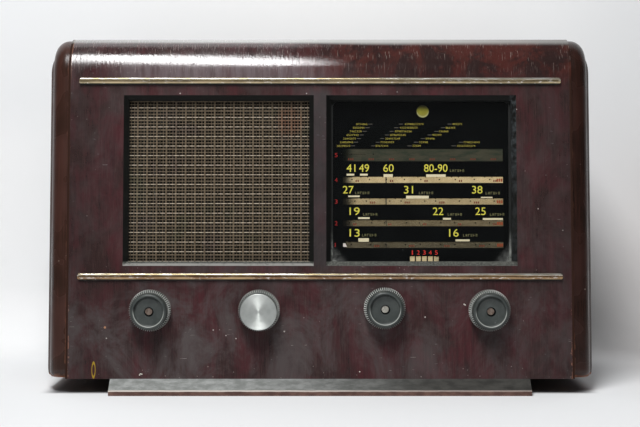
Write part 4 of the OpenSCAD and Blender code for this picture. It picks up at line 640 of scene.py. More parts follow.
def weave_tree(across_finish, up_finish):
    tree = bpy.data.node_groups.new("open_weave", "GeometryNodeTree")
    for label, kind, value in (("Uprights", "NodeSocketInt", UPRIGHTS), ("Crosses", "NodeSocketInt", CROSSES),
                               ("Pitch", "NodeSocketFloat", PITCH), ("Thread", "NodeSocketFloat", THREAD),
                               ("Swing", "NodeSocketFloat", SWING),
                               ("Bold uprights", "NodeSocketFloat", BOLD_UPRIGHT),
                               ("Bold crosses", "NodeSocketFloat", BOLD_CROSS)):
        tree.interface.new_socket(label, in_out="INPUT", socket_type=kind).default_value = value
    tree.interface.new_socket("Cloth", in_out="OUTPUT", socket_type="NodeSocketGeometry")
    given = tree.nodes.new("NodeGroupInput").outputs

    def node(kind, inputs, **settings):
        made = tree.nodes.new(kind)
        for key, value in settings.items():
            setattr(made, key, value)
        for key, value in inputs.items():
            if isinstance(value, bpy.types.NodeSocket):
                tree.links.new(value, made.inputs[key])
            else:
                made.inputs[key].default_value = value
        return made.outputs[0]

    def add(kind, **inputs):
        return node("GeometryNode" + kind, {key.replace("_", " "): value for key, value in inputs.items()})

    def maths(operation, first, second=0.0):
        return node("ShaderNodeMath", {0: first, 1: second}, operation=operation)

    def vector(x=0.0, y=0.0, z=0.0):
        return node("ShaderNodeCombineXYZ", {0: x, 1: y, 2: z})

    index = add("InputIndex")
    families = []
    for turned, count, crossed, broad, finished in (
            (False, given["Uprights"], given["Crosses"], given["Bold uprights"], up_finish),
            (True, given["Crosses"], given["Uprights"], given["Bold crosses"], across_finish)):
        past_end = maths("ADD", crossed, 1.0)
        line = add("CurvePrimitiveLine", End=vector(z=maths("MULTIPLY", past_end, given["Pitch"])))
        points = maths("ADD", maths("MULTIPLY", past_end, 2.0), 1.0)
        line = add("ResampleCurve", Curve=line, Count=points)
        swing = maths("MULTIPLY", maths("COSINE", maths("MULTIPLY", index, math.pi / 2)), given["Swing"])
        line = add("SetPosition", Geometry=line, Offset=vector(y=swing))
        rim = add("CurvePrimitiveCircle", Resolution=6, Radius=given["Thread"])
        thread = add("CurveToMesh", Curve=line, Profile_Curve=rim, Fill_Caps=True)
        step = vector(z=given["Pitch"]) if turned else vector(x=given["Pitch"])
        row = add("MeshLine", Count=count, Offset=step)
        odd = maths("MODULO", maths("ADD", index, 1.0 if turned else 0.0), 2.0)
        slide = maths("MULTIPLY", maths("SUBTRACT", odd, 1.0), given["Pitch"])
        row = add("SetPosition", Geometry=row, Offset=vector(x=slide) if turned else vector(z=slide))
        bold = maths("LESS_THAN", maths("MODULO", maths("ADD", index, 1.0), 3.0), 0.5)
        wide = maths("ADD", 1.0, maths("MULTIPLY", bold, maths("SUBTRACT", broad, 1.0)))
        ahead = maths("MULTIPLY", bold, 0.0 if turned else BOLD_AHEAD)
        row = add("SetPosition", Geometry=row, Offset=vector(y=ahead))
        size = vector(wide, THREAD_FLATTENED, 1.0)
        placed = add("InstanceOnPoints", Points=row, Instance=thread, Scale=size,
                     Rotation=(0.0, math.pi / 2 if turned else 0.0, 0.0))
        real = add("RealizeInstances", Geometry=placed)
        families.append(add("SetMaterial", Geometry=real, Material=finished))
    joined = tree.nodes.new("GeometryNodeJoinGeometry")
    for family in families:
        tree.links.new(family, joined.inputs[0])
    tree.links.new(joined.outputs[0], tree.nodes.new("NodeGroupOutput").inputs[0])
    return tree


def grown(name, tree):
    """A plain mesh, grown by a tree of nodes."""
    seed = mesh_piece(name, [(0, 0, 0)], [])
    step = seed.modifiers.new("grow", "NODES")
    step.node_group = tree
    for item in tree.interface.items_tree:
        if item.in_out == "INPUT":
            step[item.identifier] = item.default_value
    mesh = made_mesh(seed)
    seed.modifiers.clear()
    seed.data = mesh
    return seed


def thread_finish(name, dull, bright, along_x):
    made, shader, place = finish(name, Specular_IOR_Level=0.1)
    x, y, z = axes(place)
    up = (z - FOOT[1]) / math.cos(LEAN) - (OPEN_FOOT - CROSS_START)
    over = x - (SPEAKER_X - UP_START)
    turn = ((up if along_x else over) / (3 * PITCH) + 0.5 + 10).maths("FRACT")
    twist = cloudy(place, 0.0012, 2, 0.5)
    age = cloudy(place, 0.022, 5, 0.65)
    tint = cloudy(place, 0.030, 4, 0.6, shift=(9, 2, 5))
    stained = between(from_mark(x, z, (-0.0290, 0.2560), (0.017, 0.021)), 1.0, 0.3)
    stained = stained * between(age, 0.30, 0.60, 0.4, 1.0)
    colour = layered(
        mixed(between(abs(turn - 0.5), 0.20, 0.14), dull, bright),
        (between(age, 0.35, 0.7) * 0.35, [c * 1.5 for c in dull]),
        (between(tint, 0.56, 0.70) * 0.30, (0.085, 0.060, 0.075)),
        (between(tint, 0.44, 0.32) * 0.30, (0.060, 0.080, 0.045)),
        (stained * 0.55, (0.20, 0.085, 0.050)),
        (between(twist, 0.45, 0.8) * 0.5, [c * 0.45 for c in dull]),
    )
    feed(shader, Base_Color=colour, Roughness=between(twist, 0.3, 0.7, 0.75, 0.9),
         Normal=raised(twist, 0.5, 0.0002))
    return made


up_threads = thread_finish("upright_threads", (0.122, 0.094, 0.062), (0.044, 0.036, 0.023), False)
across_threads = thread_finish("cross_threads", (0.150, 0.118, 0.082), (0.55, 0.465, 0.365), True)
cloth = grown("grille_cloth", weave_tree(across_threads, up_threads))
corner = Matrix.Translation((SPEAKER_X - UP_START, CLOTH_DEPTH, OPEN_FOOT - CROSS_START))
cloth.data.transform(on_face @ corner)
cloth.data.shade_smooth()
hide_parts("speaker_cloth")
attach(cloth, "cabinet")

# Dial surround: a flat frame of dark painted sheet between the opening and the glass, dusty along its
# lower edge.
surround_finish, shader, place = finish("dark_surround", Specular_IOR_Level=0.3)
x, y, z = axes(place)
grime = cloudy(place, 0.005, 5, 0.75)
low = between(z + (abs(x - DIAL_X) - EDGE_HALF) * -1.3, 0.152, 0.126)
dust = low * between(grime, 0.36, 0.62)
feed(shader, Base_Color=mixed(dust, (0.006, 0.007, 0.006), (0.24, 0.25, 0.23)),
     Roughness=between(grime, 0.3, 0.7, 0.45, 0.60) + dust * 0.3)
dress(surround_finish, "dial_surround")

# Dial glass and its clips: a flat sheet of clear glass, dust settled in its lower corners, held by four
# bent steel clips.
glass = bpy.data.materials.new("dial_glass")
glass.use_nodes = True
tree = glass.node_tree
tree.nodes.clear()
place = Shade(tree, tree.nodes.new("ShaderNodeTexCoord").outputs["Object"])
x, y, z = axes(place)
corner = between(abs(x - DIAL_X) - z * 0.9, -0.044, -0.026)
powder = cloudy(place, 0.004, 5, 0.7)
dust = corner * between(powder, 0.30, 0.65) * 0.35 + specks(place, 0.016, 0.3, 0.0008) * 0.6
clear = place.node("BsdfTransparent", inputs={"Color": (0.97, 0.98, 0.97, 1)})
gloss = place.node("BsdfGlossy", inputs={"Roughness": 0.03, "Color": (1, 1, 1, 1)})
film = place.node("BsdfDiffuse", inputs={"Color": (0.42, 0.43, 0.41, 1)})
shine = place.node("Fresnel", inputs={"IOR": 1.5}) * (1.0 - place.node("NewGeometry", out="Backfacing"))
sheet = place.node("MixShader", inputs={0: shine, 1: clear, 2: gloss})
sheet = place.node("MixShader", inputs={0: dust, 1: sheet, 2: film})
tree.links.new(sheet.socket, tree.nodes.new("ShaderNodeOutputMaterial").inputs["Surface"])
dress(glass, "dial_glass")
dress(steel, "glass_clips")

# Printed scale: black print on the back of the glass, with five clear strips, a row of small windows and a
# round window. Numbers are yellow and band numbers red; small figures and marks stand between them.
PRINT_DEPTH, OVER_STRIP, STRIP_DEPTH, PRINT_THICK = 0.01536, 0.01588, 0.01593, 0.00003
STRIP_X, STRIP_EDGE = (0.0215, 0.1753), 0.0004
STRIPS = [(0.2065, 0.2185), (0.1857, 0.1915), (0.1650, 0.1708), (0.1442, 0.1500), (0.1235, 0.1293)]
WINDOW_STEP, WINDOWS_AT = 0.0057, DIAL_X + 0.0034
WINDOW_MIDDLES = [WINDOWS_AT + (k - 2) * WINDOW_STEP for k in range(5)]
black_print, shader, place = finish("black_print", Specular_IOR_Level=0.0)
fade = cloudy(place, 0.03, 5, 0.65)
colour = layered(
    mixed(between(fade, 0.3, 0.75), (0.0010, 0.0013, 0.0013), (0.0026, 0.0031, 0.0031)),
    (specks(place, 0.010, 0.25, 0.0006) * 0.6, (0.16, 0.16, 0.15)),
)
feed(shader, Base_Color=colour, Roughness=between(fade, 0.3, 0.7, 0.30, 0.42))
dress(black_print, "dial_scale")


def ink(name, colour, wear):
    made, shader, place = finish(name, Specular_IOR_Level=0.0, Roughness=0.8)
    flake = cloudy(place, 0.0012, 4, 0.7)
    feed(shader, Base_Color=mixed(between(flake, 0.45, 0.80) * wear, colour, [c * 0.35 for c in colour]))
    return made


def mm(*lengths):
    return [length / 1000 for length in lengths]


class Print:
    """Flat print gathered in one mesh: bars and figures, in the coordinates of the leaning front."""

    def __init__(self, name, ink_used):
        self.name, self.ink, self.points, self.faces = name, ink_used, [], []

    def add(self, points, faces):
        first = len(self.points)
        self.points += [on_face @ Vector(p) for p in points]
        self.faces += [tuple(first + k for k in face) for face in faces]

    def bar(self, x0, x1, s0, s1, depth=PRINT_DEPTH, slant=0.0):
        corners = ((x0, s0), (x1, s0), (x1 + slant, s1), (x0 + slant, s1))
        self.add([(px, d, ps) for d in (depth, depth + PRINT_THICK) for px, ps in corners],
                 ((0, 1, 2, 3), (7, 6, 5, 4), (1, 0, 4, 5), (2, 1, 5, 6), (3, 2, 6, 7), (0, 3, 7, 4)))

    def figures(self, words, x0, x1, s0, s1):
        curve = bpy.data.curves.new("figures", "FONT")
        curve.body, curve.size, curve.extrude = words, 1.0, 0.01
        holder = bpy.data.objects.new("figures", curve)
        scene.collection.objects.link(holder)
        mesh = made_mesh(holder)
        bpy.data.objects.remove(holder)
        low = [min(v.co[k] for v in mesh.vertices) for k in range(3)]
        high = [max(v.co[k] for v in mesh.vertices) for k in range(3)]
        shares = [[(v.co[k] - low[k]) / (high[k] - low[k]) for k in range(3)] for v in mesh.vertices]
        self.add([(x0 + across * (x1 - x0), PRINT_DEPTH + (1 - front) * PRINT_THICK, s0 + up * (s1 - s0))
                  for across, up, front in shares], [p.vertices for p in mesh.polygons])
        bpy.data.meshes.remove(mesh)

    def lay(self):
        piece = closed(mesh_piece(self.name, self.points, self.faces), 1e-6)
        piece.data.materials.append(self.ink)
        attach(piece, "cabinet")


NUMBER_HIGH = 7.3
numbers = Print("wave_numbers", ink("yellow_ink", (0.66, 0.585, 0.085), 0.25))
for words, x0, x1, s0 in (
        ("41", 25.4, 33.9, 196.4), ("49", 37.4, 46.9, 196.4), ("60", 60.6, 70.5, 196.4),
        ("80-90", 99.6, 122.0, 196.4), ("27", 21.9, 32.1, 175.6), ("31", 80.3, 89.0, 175.6),
        ("38", 145.3, 155.3, 175.6), ("19", 28.2, 37.9, 155.0), ("22", 107.8, 117.8, 155.0),
        ("25", 148.3, 158.2, 155.0), ("13", 28.2, 37.8, 134.3), ("16", 123.2, 132.2, 134.3)):
    numbers.figures(words, *mm(x0, x1, s0, s0 + NUMBER_HIGH))
numbers.lay()

BESIDE_STRIP, WIDE, NARROW, HALF_HIGH = 0.0141, 0.0027, 0.0009, 0.0020
strip_numbers = Print("strip_numbers", ink("dim_red_ink", (0.30, 0.022, 0.022), 0.35))
for words, (low, high) in zip("54321", STRIPS):
    middle, right = (low + high) / 2, BESIDE_STRIP + (NARROW if words == "1" else WIDE)
    strip_numbers.figures(words, BESIDE_STRIP, right, middle - HALF_HIGH, middle + HALF_HIGH)
strip_numbers.lay()
HALF_WIDE, HALF_NARROW, OVER_WINDOWS = 0.0013, 0.0005, (0.1171, 0.1212)
bands = Print("band_numbers", ink("red_ink", (0.66, 0.045, 0.035), 0.25))
for words, middle in zip("12345", WINDOW_MIDDLES):
    half = HALF_NARROW if words == "1" else HALF_WIDE
    bands.figures(words, middle - half, middle + half, *OVER_WINDOWS)
bands.lay()

STROKE, SIGN_WIDE, SIGN_HIGH, SIGN_STEP = 0.4, 1.4, 2.4, 2.4
units = Print("unit_marks", ink("small_grey_ink", (0.20, 0.185, 0.09), 0.5))
for x0, s0 in ((124.4, 196.4), (40.2, 134.6), (158.4, 174.8), (33.6, 175.0), (94.6, 175.0), (41.2, 154.4),
               (122.0, 154.4), (162.4, 154.4), (136.6, 134.4)):
    for k in range(6):
        left, cross = x0 + SIGN_STEP * k, s0 + k % 3
        right = left + SIGN_WIDE
        units.bar(*mm(left, left + STROKE, s0, s0 + SIGN_HIGH))
        units.bar(*mm(left + STROKE, right, cross, cross + STROKE))
        if k % 2:
            units.bar(*mm(right - STROKE, right, s0, s0 + SIGN_HIGH))
units.lay()

chance = random.Random(41)
stations = Print("station_marks", ink("small_yellow_ink", (0.34, 0.28, 0.055), 0.5))
dashes = Print("station_dashes", ink("small_dash_ink", (0.13, 0.115, 0.10), 0.4))
COLUMNS = (
    ((34.7, 45.4, 46.3, 50.3), (16.0, 28.9, 29.8, 33.6)),
    ((81.1, 99.2, 75.6, 79.6), (53.2, 65.3, 49.0, 52.6)),
    ((126.9, 136.2, 122.3, 126.3), (88.5, 96.7, 83.7, 87.9)),
)
ROW_STEP, ROW_HIGH, SIGN_ROOM, DASH_FOOT, DASH_HEAD = 3.5, 1.8, 1.6, 0.7, 1.15
ROWS = [([top + (foot - top) * (r / 6) for top, foot in zip(*column)], 242.4 - ROW_STEP * r - 0.9)
        for column in COLUMNS for r in range(7)]
ROWS += [((137.5, 153.1, 133.1, 137.2), 224.0), ((131.3, 148.7, 125.8, 130.4), 220.5)]
for (start, stop, dash_start, dash_stop), s0 in ROWS:
    signs = max(4, round((stop - start) / SIGN_ROOM))
    words = "".join(str(chance.randrange(2, 10)) for k in range(signs))
    stations.figures(words, *mm(start, stop, s0, s0 + ROW_HIGH))
    dashes.bar(*mm(dash_start, dash_stop, s0 + DASH_FOOT, s0 + DASH_HEAD))
stations.lay()
dashes.lay()

tabs = Print("band_tabs", ink("cream_ink", (0.70, 0.61, 0.42), 0.3))
for edges in (
        (25.5, 32.8, 192.8, 194.6), (38.3, 45.6, 192.8, 194.6), (60.8, 69.6, 191.5, 194.2),
        (101.5, 120.2, 191.5, 194.0), (27.0, 37.9, 172.2, 173.7), (82.3, 104.0, 170.8, 173.5),
        (153.8, 164.8, 171.3, 172.4), (36.4, 47.4, 151.2, 152.9), (117.4, 125.0, 150.5, 152.3),
        (155.5, 174.6, 150.3, 152.1), (36.6, 46.6, 129.5, 132.8), (129.3, 142.8, 129.9, 131.7)):
    tabs.bar(*mm(*edges))
tabs.lay()


def strip_finish(name, bright, dim, fade_to, alpha):
    made, shader, place = finish(name + "_print", Specular_IOR_Level=0.0, Roughness=0.8)
    x, y, z = axes(place)
    place_in_noise = sum(map(ord, name + "_print")) % 17
    blotch = cloudy(place, (0.016, 0.016, 0.004), 5, 0.7, shift=(place_in_noise, 0, 0))
    # Painted shade: each strip darkens to near black at its left end.
    end = between(x, fade_to, 0.023)
    colour = mixed(end, mixed(between(blotch, 0.35, 0.68), bright, dim), [c * 0.12 for c in dim])
    feed(shader, Base_Color=colour, Alpha=end * (1.0 - alpha) + alpha)
    return made


# The strips' films stand for the lit backplate behind: painted light, brightest on the second strip from the
# top, dimmest on the top one.
STRIP_LOOKS = (
    ("strip_e", (0.064, 0.058, 0.040), (0.028, 0.036, 0.026), 0.034, 0.93),
    ("strip_d", (0.70, 0.58, 0.38), (0.20, 0.16, 0.10), 0.036, 0.14),
    ("strip_c", (0.30, 0.25, 0.16), (0.10, 0.085, 0.06), 0.036, 0.30),
    ("strip_b", (0.14, 0.115, 0.075), (0.06, 0.05, 0.038), 0.036, 0.60),
    ("strip_a", (0.10, 0.085, 0.058), (0.045, 0.040, 0.030), 0.026, 0.76),
)
for look, (low, high) in zip(STRIP_LOOKS, STRIPS):
    strip = Print(look[0], strip_finish(*look))
    strip.bar(*STRIP_X, low - STRIP_EDGE, high + STRIP_EDGE, STRIP_DEPTH)
    strip.lay()
DOT, FIGURE, FIGURE_STEP, FIGURE_HEAD = 0.0012, 0.0012, 0.0019, 0.0030
dots = Print("strip_dots", ink("dot_ink", (0.006, 0.005, 0.004), 0.1))
reds = Print("strip_figures", ink("strip_red_ink", (0.16, 0.042, 0.026), 0.5))
ends = Print("strip_ends", ink("strip_end_ink", (0.30, 0.060, 0.026), 0.4))
for row, (low, high) in enumerate(STRIPS[1:]):
    for k in range(9):
        at = 0.030 + 0.0166 * k + 0.0031 * math.sin(3.1 * k + 2 * row)
        dots.bar(at, at + DOT, low + 0.0028, low + 0.0040, OVER_STRIP)
        if k % 2 == row % 2:
            for n in range(2 + k % 2):
                left = at + 0.0040 + FIGURE_STEP * n
                reds.bar(left, left + FIGURE, low + 0.0010, low + FIGURE_HEAD, OVER_STRIP)
    for k in range(14):
        at = 0.026 + 0.0108 * k + 0.0024 * math.sin(2.3 * k + 5 * row)
        dots.bar(at, at + 0.0009, high - 0.0005, high + 0.0004, OVER_STRIP)
    for n in range(3):
        ends.bar(0.1690 + 0.0020 * n, 0.1705 + 0.0020 * n, low + 0.0012, low + 0.0042, OVER_STRIP)
for k in range(8):
    for n in range(3):
        left = 0.027 + 0.0195 * k + FIGURE_STEP * n
        reds.bar(left, left + FIGURE, STRIPS[0][0] + 0.0012, STRIPS[0][0] + FIGURE_HEAD, OVER_STRIP)
ends.lay()
dots.bar(0.0222, 0.0440, 0.2132, 0.2136, OVER_STRIP)
for at in (0.0295, 0.0505):
    dots.bar(at, at + DOT, 0.2128, 0.2140, OVER_STRIP)
dots.lay()
reds.lay()

glint = Print("strip_glint", ink("glint_ink", (0.72, 0.63, 0.61), 0.1))
glint.bar(0.0221, 0.0256, 0.1246, 0.1280, OVER_STRIP, slant=-0.0012)
glint.lay()

window_tint, shader, place = finish("band_window_film", Specular_IOR_Level=0.0, Roughness=0.8)
dirt = cloudy(place, 0.004, 4, 0.7)
feed(shader, Base_Color=mixed(between(dirt, 0.4, 0.7), (0.88, 0.76, 0.52), (0.66, 0.54, 0.34)),
     Alpha=between(dirt, 0.3, 0.7, 0.42, 0.55))
WINDOW_HALF, WINDOW_REACH = 0.0025, (0.1097, 0.1152)
windows = Print("band_windows", window_tint)
for middle in WINDOW_MIDDLES:
    windows.bar(middle - WINDOW_HALF, middle + WINDOW_HALF, *WINDOW_REACH, STRIP_DEPTH)
windows.lay()

ROUND_WINDOW, WINDOW_STEPS = (0.0985, 0.2546, 0.0058), 48
window_film, shader, place = finish("tuning_window_film", Roughness=0.35, Specular_IOR_Level=0.4)
x, y, z = axes(place)
hue = cloudy(place, 0.006, 3, 0.5)
pale = between(from_mark(x, z, (0.0985, 0.2666), (0.0062, 0.0062)), 0.78, 0.95) * between(z, 0.268, 0.264)
colour = layered(
    mixed(between(hue, 0.3, 0.7), (0.35, 0.325, 0.022), (0.27, 0.24, 0.022)),
    (between(z, 0.2660, 0.2715), (0.040, 0.036, 0.010)),
    (pale, (0.42, 0.40, 0.18)),
)
feed(shader, Base_Color=colour)
around = circle(*ROUND_WINDOW, WINDOW_STEPS)
window = ringed("tuning_window", [[on_face @ Vector((px, depth, ps)) for px, ps in around]
                                  for depth in (PRINT_DEPTH, PRINT_DEPTH + PRINT_THICK)])
window.data.materials.append(window_film)
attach(window, "cabinet")

# Dial backplate: sheet steel painted cream, to throw the light of two small lamps on the scale. Its front
# face
# glows: painted light, since the lamps give none. It also carries the pointer's rail, the pulleys and the
# sleeve of the tuning-eye valve.
cream_paint, shader, place = finish("cream_paint", Specular_IOR_Level=0.45, Emission_Strength=0.55)
facing_y = axes(place.node("NewGeometry", out="Normal"))[1]
stainy = cloudy(place, 0.02, 5, 0.65)
aged = between(stainy, 0.35, 0.75)
colour = mixed(specks(place, 0.006, 0.3, 0.0008) * 0.7,
               mixed(aged, (0.50, 0.45, 0.32), (0.30, 0.25, 0.16)), (0.12, 0.07, 0.04))
painted_glow = mixed(facing_y < -0.5, (0, 0, 0), mixed(aged, (1.0, 0.74, 0.38), (0.78, 0.57, 0.29)))
feed(shader, Base_Color=colour, Emission_Color=painted_glow, Roughness=between(stainy, 0.3, 0.7, 0.38, 0.60),
     Normal=raised(stainy, 0.15, 0.0003))
dress(cream_paint, "dial_backplate")


def blown_glass(name, tint, alpha):
    made, shader, place = finish(name, Specular_IOR_Level=0.6)
    smoke = cloudy(place, 0.012, 3, 0.6)
    feed(shader, Base_Color=mixed(between(smoke, 0.3, 0.7), tint, [c * 0.6 for c in tint]),
         Alpha=between(smoke, 0.3, 0.7, alpha, alpha + 0.2), Roughness=between(smoke, 0.3, 0.7, 0.06, 0.14))
    return made


turned_brass = bare_metal("turned_brass", (0.45, 0.30, 0.12), (0.66, 0.48, 0.22), 0.28)
dress(blown_glass("lamp_glass", (0.70, 0.66, 0.55), 0.35), "pilot_lamps")
dress(turned_brass, "lamp_holders", "left_pulley", "right_pulley", "spindle_bush", "terminal_sockets")

# Pointer drive: a dark pointer on a steel rail, a braided cord, an aluminium drum on the gang's shaft,
# two brass pulleys and the tuning spindle.
dress(steel, "pointer_rail", "gang_frame")
dress(mottled("pointer_paint", 0.003, (0.010, 0.009, 0.008), (0.030, 0.026, 0.022), (0.45, 0.65),
              Specular_IOR_Level=0.4), "pointer")

braid_finish, shader, place = finish("braided_cord", Specular_IOR_Level=0.2)
x, y, z = axes(place)
plait = ((x + z) * 4200.0 + y * 3000.0).maths("SINE")
feed(shader, Base_Color=mixed(between(plait, -0.6, 0.8), (0.22, 0.17, 0.09), (0.48, 0.41, 0.26)),
     Roughness=between(plait, -1, 1, 0.8, 0.9), Normal=raised(plait, 0.5, 0.0001))
dress(braid_finish, "drive_cord")

plain_aluminium = bare_metal("plain_aluminium", (0.52, 0.53, 0.53), (0.74, 0.75, 0.75), 0.30)
dress(plain_aluminium, "cord_drum", "gang_rotor", "gang_stators", "coil_cans", "smoothing_can")

# Tuning-eye valve and band flag: the valve looks through the round window, the flag is a thin red strip
# that slides behind the row of small windows.
dress(blown_glass("eye_glass", (0.14, 0.18, 0.11), 0.75), "eye_valve")
dress(mottled("red_flag_paint", 0.003, (0.34, 0.022, 0.016), (0.14, 0.012, 0.010), (0.4, 0.6), (0.4, 0.8),
              Specular_IOR_Level=0.4), "band_flag")

# Knobs: dark grey-green bakelite, moulded with a knurled skirt, a smooth rounded ring and a shallow recess
# whose lower rim is painted pale, a painted highlight. Painted shade darkens the knurling's valleys, the top
# of the recess and the shaft hole. The second one carries a spun disc in its recess.
KNOB_FRONT, KNOB_LEN, KNOB_STEPS = -0.122885, 0.0195, 240
GROOVES, GROOVE, GROOVE_FORM = 60, 0.0013, 0.7
KNOB_LINE = [
    (3.3, 0.0, 0), (18.9, 0.0, 0), (19.5, 0.5, 1), (19.5, 3.0, 1), (19.5, 6.0, 1), (19.5, 8.2, 1),
    (19.1, 9.1, 1), (18.2, 9.8, 1), (17.4, 10.1, 0.7), (17.1, 10.4, 0), (17.1, 13.0, 0), (17.1, 16.4, 0),
    (16.9, 17.6, 0), (16.4, 18.6, 0), (15.7, 19.25, 0), (14.9, 19.5, 0), (14.3, 19.5, 0), (13.95, 19.35, 0),
    (13.8, 19.0, 0), (13.6, 16.9, 0), (13.3, 16.3, 0), (12.6, 16.1, 0), (8.0, 16.0, 0), (4.3, 16.0, 0),
    (4.05, 15.85, 0), (4.0, 15.4, 0), (4.0, 13.0, 0), (3.3, 12.9, 0),
]


def turned(name, line, steps, centre, closed_loop=True):
    """A shape turned about an axis that runs straight back. Its line holds radius and height in mm, and
    the share of the knurling's depth that is cut there."""
    points = []
    for k in range(steps):
        a = math.tau * k / steps
        cut_in = GROOVE * (0.5 - 0.5 * math.cos(GROOVES * a)) ** GROOVE_FORM
        for radius, height, cut_share in line:
            out = radius / 1000 - cut_share * cut_in
            points.append((centre[0] + out * math.cos(a), centre[1] - height / 1000,
                           centre[2] + out * math.sin(a)))
    count = len(line)
    faces = []
    for k in range(steps):
        here, there = k * count, (k + 1) % steps * count
        for i in range(count if closed_loop else count - 1):
            after = (i + 1) % count
            faces.append((here + i, here + after, there + after, there + i))
    piece = closed(mesh_piece(name, points, faces), 1e-7)
    smoothed(piece, 50)
    return piece


def bakelite_finish(name, x0, z0):
    made, shader, place = finish(name, Specular_IOR_Level=0.5)
    x, y, z = axes(place)
    dx, dz = x - x0, z - z0
    radius = (dx * dx + dz * dz) ** 0.5
    scuff = cloudy(place, 0.0035, 5, 0.7, shift=(x0 * 100, 0, 0))
    smear = cloudy(place, 0.012, 3, 0.6, shift=(x0 * 60, 1, 0))
    # A painted highlight along the lower half of the recess's rim.
    rim = between(radius, 0.01365, 0.01385) * between(radius, 0.01450, 0.01430)
    rim = rim * between(dz + scuff * 0.004, 0.006, -0.002)
    # Pale crests on the knurling's upper side, toward the middle of the set: wear and painted highlight.
    teeth = (dz.maths("ARCTAN2", dx) * GROOVES).maths("COSINE")
    skirt = between(radius, 0.01715, 0.01735)
    inward = between(dx * math.copysign(1.0, -x0) + dz, -0.010, 0.012, 0.25, 1.0)
    teeth_wear_and_highlight = between(teeth, 0.30, 0.70) * skirt * inward * between(scuff, 0.26, 0.40)
    pale = rim * 0.6 + teeth_wear_and_highlight + between(scuff, 0.60, 0.78) * 0.20
    colour = layered(
        mixed(between(smear, 0.3, 0.7), (0.028, 0.034, 0.032), (0.046, 0.054, 0.050)),
        (pale.maths("MINIMUM", 1.0), (0.62, 0.64, 0.60)),
        (teeth_wear_and_highlight * 0.4, (0.90, 0.92, 0.88)),
    )
    feed(shader, Base_Color=colour, Roughness=between(scuff, 0.3, 0.7, 0.34, 0.52),
         Normal=raised(scuff, 0.2, 0.0002))
    # Painted shade, laid as a near-black sheet over the top of the recess, the knurling's valleys and the
    # shaft hole.
    painted_shadow_crescent = between(radius, 0.0116, 0.0124) * between(radius, 0.0144, 0.0141)
    painted_shadow_crescent = painted_shadow_crescent * between(dz - dx * 0.4, 0.003, 0.008)
    painted_shade_bore = between(from_mark(x, z, (x0 + 0.0003, z0 - 0.0003), (0.0045, 0.0045)), 1.0, 0.92)
    painted_shade_valleys = between(teeth, 0.36, 0.05) * skirt * between(inward, 0.35, 0.8, 0.45, 0.98)
    dark = (painted_shade_valleys + painted_shadow_crescent * 0.50 + painted_shade_bore * 0.95).maths("MINIMUM", 1.0)
    overlaid(made, shader, dark, place.node("BsdfDiffuse", inputs={"Color": (0.004, 0.0045, 0.0045, 1)}))
    return made


for (kx, kz), body, node in zip(SHAFTS, ("volume_control", "tone_control", "band_control", "tuning_control"),
                                ("volume_knob", "tone_knob", "band_knob", "tuning_knob")):
    knob = turned("moulded_" + node, KNOB_LINE, KNOB_STEPS, (kx, KNOB_FRONT + KNOB_LEN, kz))
    knob.data.materials.append(bakelite_finish(node + "_bakelite", kx, kz))
    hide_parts(node)
    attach(knob, body)

# Spun disc: thin aluminium, spun so that its fine rings throw the light in a bow tie. A boss behind it
# presses into the knob's recess.
DISC_LINE = [
    (0.0, 0.95, 0), (8.0, 0.93, 0), (15.6, 0.90, 0), (16.0, 0.98, 0), (16.5, 1.0, 0), (16.85, 0.9, 0),
    (17.0, 0.65, 0), (17.0, 0.1, 0), (16.9, 0.0, 0), (13.6, 0.0, 0), (13.6, -2.1, 0), (0.0, -2.1, 0),
]
DISC_X, DISC_Z = SHAFTS[1]
RINGS_CLOSE, RINGS_DEEP, DISC_STEPS = 60000.0, 0.50, 128
disc = turned("spun_disc", DISC_LINE, DISC_STEPS, (DISC_X, KNOB_FRONT, DISC_Z), closed_loop=False)
spun, shader, place = finish("spun_aluminium", Metallic=1.0)

centre = place.node("VectorMath", {"operation": "SUBTRACT"}, {0: place, 1: (DISC_X, 0, DISC_Z)})
flat = place.node("VectorMath", {"operation": "MULTIPLY"}, {0: centre, 1: (1, 0, 1)})
radius = place.node("VectorMath", {"operation": "LENGTH"}, {0: flat}, out=1)
outward = place.node("VectorMath", {"operation": "NORMALIZE"}, {0: flat})
tilt = (radius * RINGS_CLOSE).maths("SINE") * RINGS_DEEP
lean_by = place.node("VectorMath", {"operation": "SCALE"}, {0: outward, "Scale": tilt})
facing = place.node("NewGeometry", out="Normal")
bent = place.node("VectorMath", {"operation": "ADD"}, {0: facing, 1: lean_by})
bent = place.node("VectorMath", {"operation": "NORMALIZE"}, {0: bent})
tone = cloudy(place, 0.006, 3, 0.5)
feed(shader, Base_Color=mixed(between(tone, 0.3, 0.7), (0.46, 0.48, 0.46), (0.53, 0.55, 0.53)),
     Roughness=between(tone, 0.3, 0.7, 0.44, 0.48), Normal=bent)
disc.data.materials.append(spun)
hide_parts("tone_disc")
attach(disc, "tone_control")

# Control shafts and what they turn: quarter-inch shafts with a brownish film on their ends, closed
# potentiometer cans, and a switch of brown board wafers.
SHAFT_MOTTLE = (0.002, 0.01, 0.002)
shaft_finish = bare_metal("filmed_shaft", (0.15, 0.11, 0.09), (0.30, 0.24, 0.20), 0.40, SHAFT_MOTTLE)
dress(shaft_finish, "volume_shaft", "tone_shaft", "tuning_spindle")
dress(bare_metal("bright_shaft", (0.38, 0.36, 0.31), (0.60, 0.58, 0.52), 0.40, SHAFT_MOTTLE), "band_shaft")
dress(bare_metal("potentiometer_can", (0.28, 0.27, 0.24), (0.42, 0.41, 0.37), 0.40), "control_pots")


def board_finish(name, dark, light, grain=0.002):
    return mottled(name, grain, dark, light, (0.45, 0.70), (0.35, 0.7), (0.2, 0.0002), 5, 0.65,
                   Specular_IOR_Level=0.4)


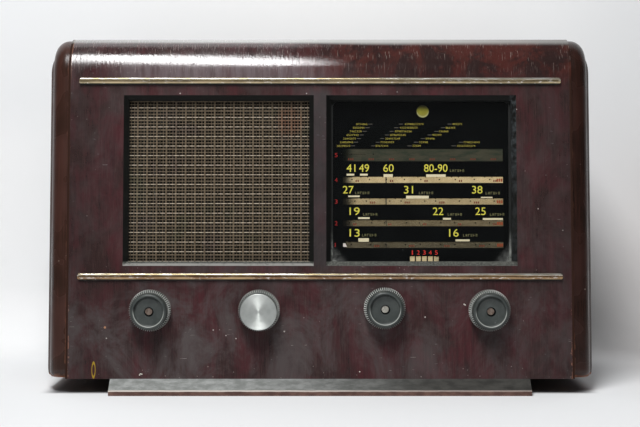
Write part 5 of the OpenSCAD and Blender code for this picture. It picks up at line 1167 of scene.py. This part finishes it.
brown_board = board_finish("brown_board", (0.10, 0.050, 0.022), (0.17, 0.090, 0.042))
dress(brown_board, "switch_frame", "terminal_panel", "valve_sockets")

# Chassis: a plated steel tray, dulled and finger-marked, on four rubber grommets, held down by bolts
# from under the floor board.
chassis_finish, shader, place = finish("plated_chassis", Metallic=0.9)
bloom = cloudy(place, 0.035, 5, 0.65)
rust = between(cloudy(place, 0.012, 5, 0.7, shift=(4, 4, 4)), 0.60, 0.74)
colour = layered(
    mixed(between(bloom, 0.3, 0.7), (0.34, 0.35, 0.33), (0.52, 0.53, 0.50)),
    (rust * 0.7, (0.16, 0.07, 0.03)),
)
feed(shader, Base_Color=colour, Roughness=between(bloom, 0.3, 0.7, 0.34, 0.52) + rust * 0.25,
     Normal=raised(rust, 0.2, 0.0002))
dress(chassis_finish, "chassis_tray")
dress(steel, "chassis_bolts")
rubber = board_finish("black_rubber", (0.010, 0.010, 0.010), (0.028, 0.027, 0.026), 0.001)
dress(rubber, "rubber_grommets", "mains_gland")

# Transformers: stacks of dark laminations round varnished windings, each under a steel strap. The thin
# edges of the laminations show as fine lines.
lamination, shader, place = finish("laminated_iron", Specular_IOR_Level=0.5)
leaf = (axes(place)[1] * 9000.0).maths("SINE")
dull = cloudy(place, 0.01, 4, 0.6)
feed(shader, Base_Color=mixed(between(dull, 0.3, 0.7), (0.030, 0.028, 0.026), (0.075, 0.065, 0.050)),
     Metallic=between(dull, 0.3, 0.7, 0.3, 0.5), Roughness=between(dull, 0.3, 0.7, 0.42, 0.60),
     Normal=raised(leaf, 0.3, 0.0002))
dress(lamination, "mains_transformer", "output_transformer")

# Valves: dark moulded bases with smoky glass bulbs, in sockets of brown board along the back of the
# chassis.
dress(board_finish("valve_base_moulding", (0.012, 0.008, 0.007), (0.030, 0.020, 0.016), 0.004), "valve_bases")
dress(blown_glass("valve_glass", (0.20, 0.22, 0.21), 0.45), "valve_bulbs")

# Rear cover: pressed fibre board with rows of cooling slots, screwed to the battens inside the back of
# the cabinet.
dress(board_finish("fibre_board", (0.085, 0.052, 0.030), (0.15, 0.095, 0.058), 0.0012), "rear_cover")
